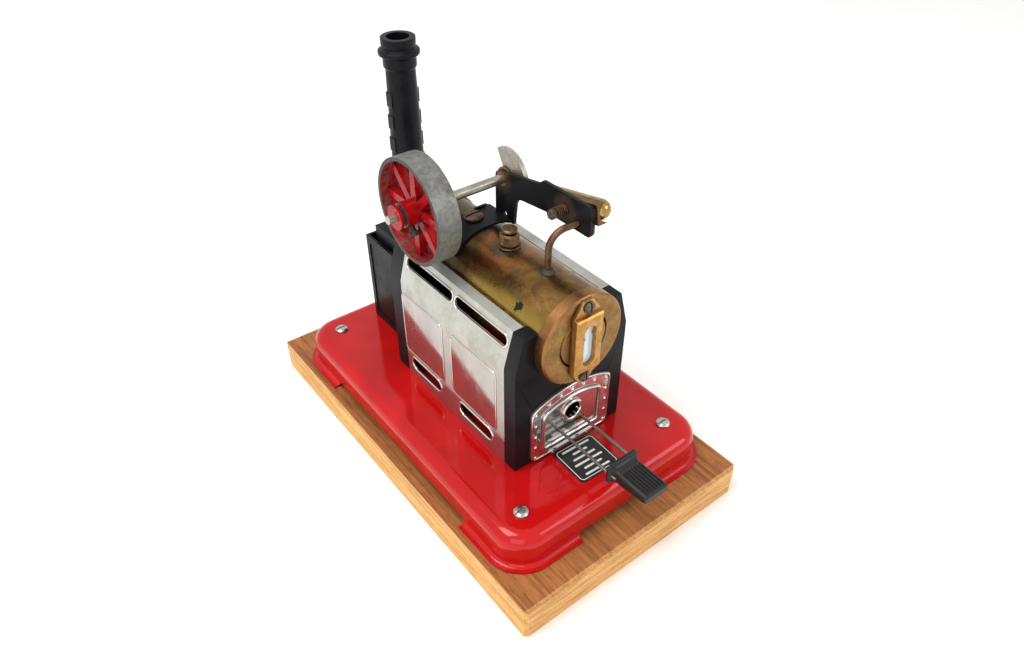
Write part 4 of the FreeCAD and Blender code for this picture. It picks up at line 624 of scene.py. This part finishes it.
def rounded_rectangle(wide, high, corner, steps=6):
    """Flat (across, up) points of a rounded rectangle about the origin, anticlockwise."""
    corner = min(corner, wide / 2 - 1e-4, high / 2 - 1e-4)
    points = []
    for quarter, (side, level) in enumerate(((1, 1), (-1, 1), (-1, -1), (1, -1))):
        centre = (side * (wide / 2 - corner), level * (high / 2 - corner))
        for step in range(steps + 1):
            turn = math.radians(90 * (quarter + step / steps))
            points.append((centre[0] + corner * math.cos(turn), centre[1] + corner * math.sin(turn)))
    return points


def lathe(centre, rows, steps):
    """Points and faces of an upright turned shape. Each row is (height, radius of each step)."""
    points, faces = [], []
    for height, radii in rows:
        for step, radius in enumerate(radii):
            turn = 2 * math.pi * step / steps
            points.append(centre + Vector((radius * math.cos(turn), radius * math.sin(turn), height)))
    for row in range(len(rows) - 1):
        for step in range(steps):
            following = (step + 1) % steps
            faces.append((row * steps + step, row * steps + following, (row + 1) * steps + following,
                          (row + 1) * steps + step))
    return points, faces


def loft(sections):
    """Points and faces of a closed solid through sections with the same number of points."""
    count = len(sections[0])
    points = [spot for section in sections for spot in section]
    faces = [tuple(reversed(range(count))), tuple(range(len(points) - count, len(points)))]
    for number in range(len(sections) - 1):
        start = number * count
        for step in range(count):
            following = (step + 1) % count
            faces.append((start + step, start + following, start + count + following, start + count + step))
    return points, faces


def tube(path, radius, sides=10):
    """Points and faces of a round tube along a path that meets itself."""
    path = [Vector(p) for p in path]
    count = len(path)
    points, faces = [], []
    up = (path[1] - path[-1]).normalized().orthogonal().normalized()
    for number, spot in enumerate(path):
        along = (path[(number + 1) % count] - path[number - 1]).normalized()
        up = (up - along * up.dot(along)).normalized()
        side = along.cross(up)
        for step in range(sides):
            turn = 2 * math.pi * step / sides
            points.append(spot + radius * (math.cos(turn) * up + math.sin(turn) * side))
    for number in range(count):
        first, second = number * sides, (number + 1) % count * sides
        shift = nearest_turn(points, first, sides) if number == count - 1 else 0
        for step in range(sides):
            following = (step + 1) % sides
            faces.append((first + step, first + following, second + (following + shift) % sides,
                          second + (step + shift) % sides))
    return points, faces


def nearest_turn(points, last, sides):
    """How far the last ring is turned against the first, in steps."""
    return min(range(sides), key=lambda shift: (points[last] - points[shift]).length)


def stadium(long, high, steps=10):
    """Flat (across, up) points of a slot with round ends about the origin."""
    points = []
    for end in (0, 1):
        for step in range(steps + 1):
            turn = math.radians(-90 + 180 * (end + step / steps))
            side = (long - high) / 2 * (1 - 2 * end)
            points.append((side + high / 2 * math.cos(turn), high / 2 * math.sin(turn)))
    return points


# ---- pieces --------------------------------------------------------------------------------------

# Openings and raised panels of a side panel: along from its middle, up from its foot, length and height.
VENTS = ((-20.1, 9.75, 27.5, 6.9), (24.4, 9.75, 27.5, 6.9))
LOUVRES = ((-21.6, 72.6, 40.0, 5.4), (20.5, 72.6, 40.0, 5.4))
EMBOSSES = ((-19.1, 34.85, 37.0, 37.5), (24.9, 34.85, 37.0, 37.5))
EMBOSS_CORNER = 2.6
PANEL_CREASE = 60.5
PANEL_LEAN = 5.2
SHEET = 0.45


def make_panel_lips():
    """Rolled lips round the side panels' openings and a pressed line round their raised panels."""
    lips = [(along, level, stadium(long + 1.3, tall + 1.3), 0.80, 0.0)
            for along, level, long, tall in VENTS]
    lips += [(along, level, stadium(long + 0.8, tall + 0.8), 0.66, 0.1)
             for along, level, long, tall in LOUVRES]
    lips += [(along, level, rounded_rectangle(long - 0.8, tall - 0.8, EMBOSS_CORNER), 0.60, 0.0)
             for along, level, long, tall in EMBOSSES]
    for side, name in ((-1, "left"), (1, "right")):
        low, high = extent(f"firebox_{name}_side")
        middle, outer = (low.y + high.y) / 2, max(abs(low.x), abs(high.x)) - SHEET
        parts = []
        for along, level, outline, radius, sink in lips:
            path = []
            for y, z in outline:
                above = max(0.0, level + z - PANEL_CREASE) / (high.z - low.z - PANEL_CREASE)
                across = side * (outer - PANEL_LEAN * above - sink)
                path.append((across, middle + along + y, low.z + level + z))
            parts.append(tube(path, radius, sides=8))
        # The lips wear the brighter nickel, a painted highlight.
        piece(f"{name}_panel_lips", *merged(parts), "engine", "bright_panel", PANEL_LIP_HIGHLIGHT)


def arch_path(half, low, side, top, corner, steps=8):
    """Flat (across, up) points of an arched outline with rounded corners."""
    rise = top - side
    radius = (half ** 2 + rise ** 2) / (2 * rise)
    span = math.asin(half / radius)
    shoulder = span * (1 - corner / half)
    points = []
    for step in range(-steps, steps + 1):
        turn = -shoulder * step / steps
        points.append((radius * math.sin(turn), top - radius + radius * math.cos(turn)))
    end = points[-1]
    for step in range(1, steps):
        share = step / steps
        before, between, after = (1 - share) ** 2, 2 * share * (1 - share), share ** 2
        points.append((before * end[0] - (1 - before) * half,
                       before * end[1] + between * side + after * (side - corner)))
    for step in range(steps + 1):
        turn = math.radians(90 * step / steps)
        points.append((-half + corner - corner * math.cos(turn), low + corner - corner * math.sin(turn)))
    left = points[2 * steps + 1:]
    return points + [(-x, z) for x, z in reversed(left)]


# Each outline's distance in from the side, up from the foot, down to its shoulder and down to its crown,
# and its corner radius.
DOOR_BORDER = (0.55, 0.6, 6.9, 0.55, 3.6)
DOOR_ARCH = (7.25, 6.25, 11.4, 7.05, 2.0)
DOOR_LEDGE = 3.4
DOOR_HOLE, DOOR_HOLE_LEVEL = 5.5, 22.1


def make_door_rolls():
    """Rolled edges on the burner door: its border, its raised arch and the ring round the air hole."""
    low, high = extent("burner_door")
    face = low.y + DOOR_LEDGE
    border, arch = [arch_path(high.x - inset, low.z + foot, high.z - shoulder, high.z - crown, corner)
                    for inset, foot, shoulder, crown, corner in (DOOR_BORDER, DOOR_ARCH)]
    turns = [math.radians(12 * number) for number in range(30)]
    ring = [(DOOR_HOLE * math.cos(turn), low.z + DOOR_HOLE_LEVEL + DOOR_HOLE * math.sin(turn))
            for turn in turns]
    parts = [tube([(x, face - lift, z) for x, z in path], radius)
             for path, lift, radius in ((border, 0.0, 0.5), (arch, 0.5, 0.85), (ring, 0.5, 0.95))]
    piece("burner_door_rolls", *merged(parts), "burner", "burner_chrome")


KNURLS = 30
KNURL_DEPTH = 0.42
KNURL_PITCH = 0.9
VALVE_BORE = 1.15


def saw(value):
    """A wave of straight lines between 0 and 1 with a period of 1."""
    return 1 - 2 * abs(value % 1.0 - 0.5)


def make_valve_body():
    """The safety valve's turned body with a diamond knurl round its middle."""
    low, high = extent("safety_valve_body")
    centre = Vector(((low.x + high.x) / 2, (low.y + high.y) / 2, low.z))
    radius, tall = (high.x - low.x) / 2, high.z - low.z
    steps = KNURLS * 6

    def ring(height, size):
        return height, [size] * steps

    rows = [ring(0.0, VALVE_BORE)]
    rows += [ring(up, radius - inset) for up, inset in ((0.0, 0.75), (0.35, 0.55), (0.6, 0.4))]
    first, last, count = 0.75, tall - 1.0, 16
    for row in range(count + 1):
        height = first + (last - first) * row / count
        radii = []
        for step in range(steps):
            around = KNURLS * step / steps
            ridge = max(saw(around + height / KNURL_PITCH), saw(around - height / KNURL_PITCH))
            radii.append(radius - KNURL_DEPTH * (1 - ridge))
        rows.append((height, radii))
    rows += [ring(tall - down, radius - inset)
             for down, inset in ((0.85, 0.45), (0.6, 0.6), (0.12, 1.1), (0.0, 1.4))]
    rows += [ring(tall, 2.2), ring(tall - 1.0, VALVE_BORE), ring(0.0, VALVE_BORE)]
    body = piece("valve_body_knurled", *lathe(centre, rows, steps), "engine", "valve_brass", smooth=False)
    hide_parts("safety_valve_body")


GRIP_RIBS = 7
GRIP_PITCH = 1.9
GRIP_REACH = 6.4
GRIP_NECK = 5.8


def grip_section(y, half, low, high, corner, groove):
    """One section of the grip: a rounded rectangle whose top edge dips into grooves."""
    corner = min(corner, (high - low) / 2 - 0.05)
    outline = []
    for quarter, (side, level) in ((2, (-1, low + corner)), (3, (1, low + corner)), (0, (1, high - corner))):
        for step in range(5):
            turn = math.radians(90 * (quarter + step / 4))
            outline.append((side * (half - corner) + corner * math.cos(turn),
                            level + corner * math.sin(turn)))
    for number in reversed(range(GRIP_RIBS)):
        middle = (number - (GRIP_RIBS - 1) / 2) * GRIP_PITCH * min(1.0, (half - corner) / GRIP_REACH)
        for shift, depth in ((0.62, 0.0), (0.40, 1.0), (-0.40, 1.0), (-0.62, 0.0)):
            outline.append((middle + shift, high - groove * depth))
    for step in range(5):
        turn = math.radians(90 * (1 + step / 4))
        outline.append((-(half - corner) + corner * math.cos(turn), high - corner + corner * math.sin(turn)))
    return [Vector((x, y, z)) for x, z in outline]


def make_grip():
    """The burner's moulded grip: a flared collar, a waist and a ribbed handle that thins to the front."""
    low, high = extent("burner_grip")
    back, front, wide = high.y, low.y, (high.x - low.x) / 2
    middle = (low.z + high.z) / 2
    top, under = middle + 3.2, middle - 3.8
    stations = [(0.0, wide - 0.5, 5.5, 5.5, 2.2, 0.0), (0.3, wide, 6.0, 6.0, 2.6, 0.0),
                (1.5, wide, 6.0, 6.0, 2.6, 0.0), (1.9, wide - 0.5, 5.5, 5.5, 2.4, 0.0),
                (2.4, wide - 1.3, 4.8, 4.9, 2.2, 0.0), (3.3, wide - 1.9, 4.1, 4.4, 2.0, 0.0),
                (4.6, wide - 2.3, 3.5, 4.0, 1.8, 0.0), (GRIP_NECK, wide - 2.3, 3.25, 3.8, 1.6, 0.0)]
    sections = [grip_section(back - away, half, middle - deep, middle + rise, corner, groove)
                for away, half, rise, deep, corner, groove in stations]
    long = back - front
    for away, groove in ((6.2, 0.35), (6.6, 0.75), (9.0, 0.8), (13.0, 0.8), (17.0, 0.8), (long - 2.2, 0.8),
                         (long - 1.9, 0.35), (long - 1.6, 0.0), (long - 0.9, 0.0)):
        share = (away - GRIP_NECK) / (long - GRIP_NECK)
        half, floor = wide - 2.2 + 0.1 * share, under + 2.2 * share
        sections.append(grip_section(back - away, half, floor, top, 1.5, groove))
    sections.append(grip_section(front + 0.25, wide - 2.5, under + 2.6, top - 0.35, 1.3, 0.0))
    sections.append(grip_section(front, wide - 3.1, under + 3.1, top - 0.9, 1.0, 0.0))
    grip = piece("burner_grip_moulding", *loft(sections), "burner", "grip_plastic", smooth=False)
    edge = grip.modifiers.new("rounded_edges", "BEVEL")
    edge.width, edge.segments = 0.12 * MM, 2
    edge.limit_method, edge.angle_limit = "ANGLE", math.radians(35)
    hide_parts("burner_grip")


LABEL_TURN = math.radians(-2.0)
LABEL_BARS = ((8.6, 17.0), (5.2, 9.0), (1.8, 13.5), (-1.6, 17.0), (-5.0, 11.0), (-8.4, 15.0))


def make_label_trim():
    """A pale border line and plain bars on the label, in place of its wording."""
    low, high = extent("label_plate")
    centre = centre_of("label_plate")
    across, turn = high - low, abs(LABEL_TURN)
    share = math.cos(turn) ** 2 - math.sin(turn) ** 2
    wide = (across.x * math.cos(turn) - across.y * math.sin(turn)) / share
    long = (across.y * math.cos(turn) - across.x * math.sin(turn)) / share
    top = high.z + 0.03

    def spot(x, y, lift=0.0):
        return Vector((centre.x + x * math.cos(LABEL_TURN) - y * math.sin(LABEL_TURN),
                       centre.y + x * math.sin(LABEL_TURN) + y * math.cos(LABEL_TURN), top + lift))

    outer = rounded_rectangle(wide - 1.4, long - 1.4, 2.0)
    inner = rounded_rectangle(wide - 2.3, long - 2.3, 1.6)
    count = len(outer)
    points = [spot(*place) for place in outer] + [spot(*place) for place in inner]
    points += [spot(*place, -0.05) for place in outer]
    faces = []
    for step in range(count):
        following = (step + 1) % count
        faces.append((step, following, count + following, count + step))
        faces.append((following, step, 2 * count + step, 2 * count + following))
    parts = [(points, faces)]
    for level, bar in LABEL_BARS:
        outline = rounded_rectangle(bar, 1.25, 0.35, 3)
        count = len(outline)
        points = [spot(x, level + y, lift) for lift in (0.0, -0.05) for x, y in outline]
        faces = [tuple(range(count))]
        faces += [((n + 1) % count, n, count + n, count + (n + 1) % count) for n in range(count)]
        parts.append((points, faces))
    piece("label_trim", *merged(parts), "engine", "label_black", LABEL_WHITE, smooth=False)


# ---- staging -------------------------------------------------------------------------------------

VIEW_AZIMUTH = math.radians(322.12)
VIEW_ELEVATION = math.radians(38.60)
VIEW_DISTANCE = 421.0
VIEW_OFFSET = Vector((8.43, -5.11, -32.5))
LENS = 27.97
WORLD_LIGHT = 0.87
GAMMA = 0.9
LIGHT_AIM = (0.0, 0.0, 0.08)


def make_camera():
    back = Vector((math.sin(VIEW_AZIMUTH) * math.cos(VIEW_ELEVATION),
                   -math.cos(VIEW_AZIMUTH) * math.cos(VIEW_ELEVATION), math.sin(VIEW_ELEVATION)))
    camera = bpy.data.objects.new("camera", bpy.data.cameras.new("camera"))
    bpy.context.scene.collection.objects.link(camera)
    camera.data.lens = LENS
    camera.data.sensor_width = 36.0
    camera.data.clip_start = 0.01
    target = (cad_low + cad_high) / 2 / MM + VIEW_OFFSET
    camera.location = (target + back * VIEW_DISTANCE) * MM
    camera.rotation_mode = "QUATERNION"
    camera.rotation_quaternion = (-back).to_track_quat("-Z", "Y")
    bpy.context.scene.camera = camera


def make_floor():
    half, parts = 4000.0, 8
    step = 2 * half / parts
    row = parts + 1
    points = [(-half + step * i, -half + step * j, 0.0) for j in range(row) for i in range(row)]
    faces = [(j * row + i, j * row + i + 1, (j + 1) * row + i + 1, (j + 1) * row + i)
             for j in range(parts) for i in range(parts)]
    mesh = bpy.data.meshes.new("floor")
    mesh.from_pydata([tuple(Vector(p) * MM) for p in points], [], faces)
    floor = bpy.data.objects.new("floor", mesh)
    bpy.context.scene.collection.objects.link(floor)
    floor.data.materials.append(floor_white())


def area_light(name, place, wide, high, watts):
    light = bpy.data.lights.new(name, "AREA")
    light.shape = "RECTANGLE"
    light.size, light.size_y = wide, high
    light.energy = watts
    made = bpy.data.objects.new(name, light)
    bpy.context.scene.collection.objects.link(made)
    made.location = place
    made.rotation_mode = "QUATERNION"
    made.rotation_quaternion = (Vector(LIGHT_AIM) - Vector(place)).to_track_quat("-Z", "Y")


def make_light():
    world = bpy.data.worlds.new("studio")
    world.use_nodes = True
    background = world.node_tree.nodes["Background"]
    background.inputs["Color"].default_value = (1.0, 1.0, 1.0, 1.0)
    background.inputs["Strength"].default_value = WORLD_LIGHT
    bpy.context.scene.world = world
    area_light("key", (-0.55, 0.15, 1.15), 0.7, 0.7, 9.0)
    area_light("fill", (-0.9, -0.8, 0.6), 0.8, 0.8, 3.0)
    area_light("front", (0.7, -0.9, 0.7), 0.6, 0.5, 3.0)
    bpy.context.scene.view_settings.view_transform = "Standard"
    bpy.context.scene.view_settings.gamma = GAMMA


dress_frame()
soften_edges()
make_valve_body()
make_grip()
make_panel_lips()
make_door_rolls()
make_label_trim()
make_camera()
make_floor()
make_light()
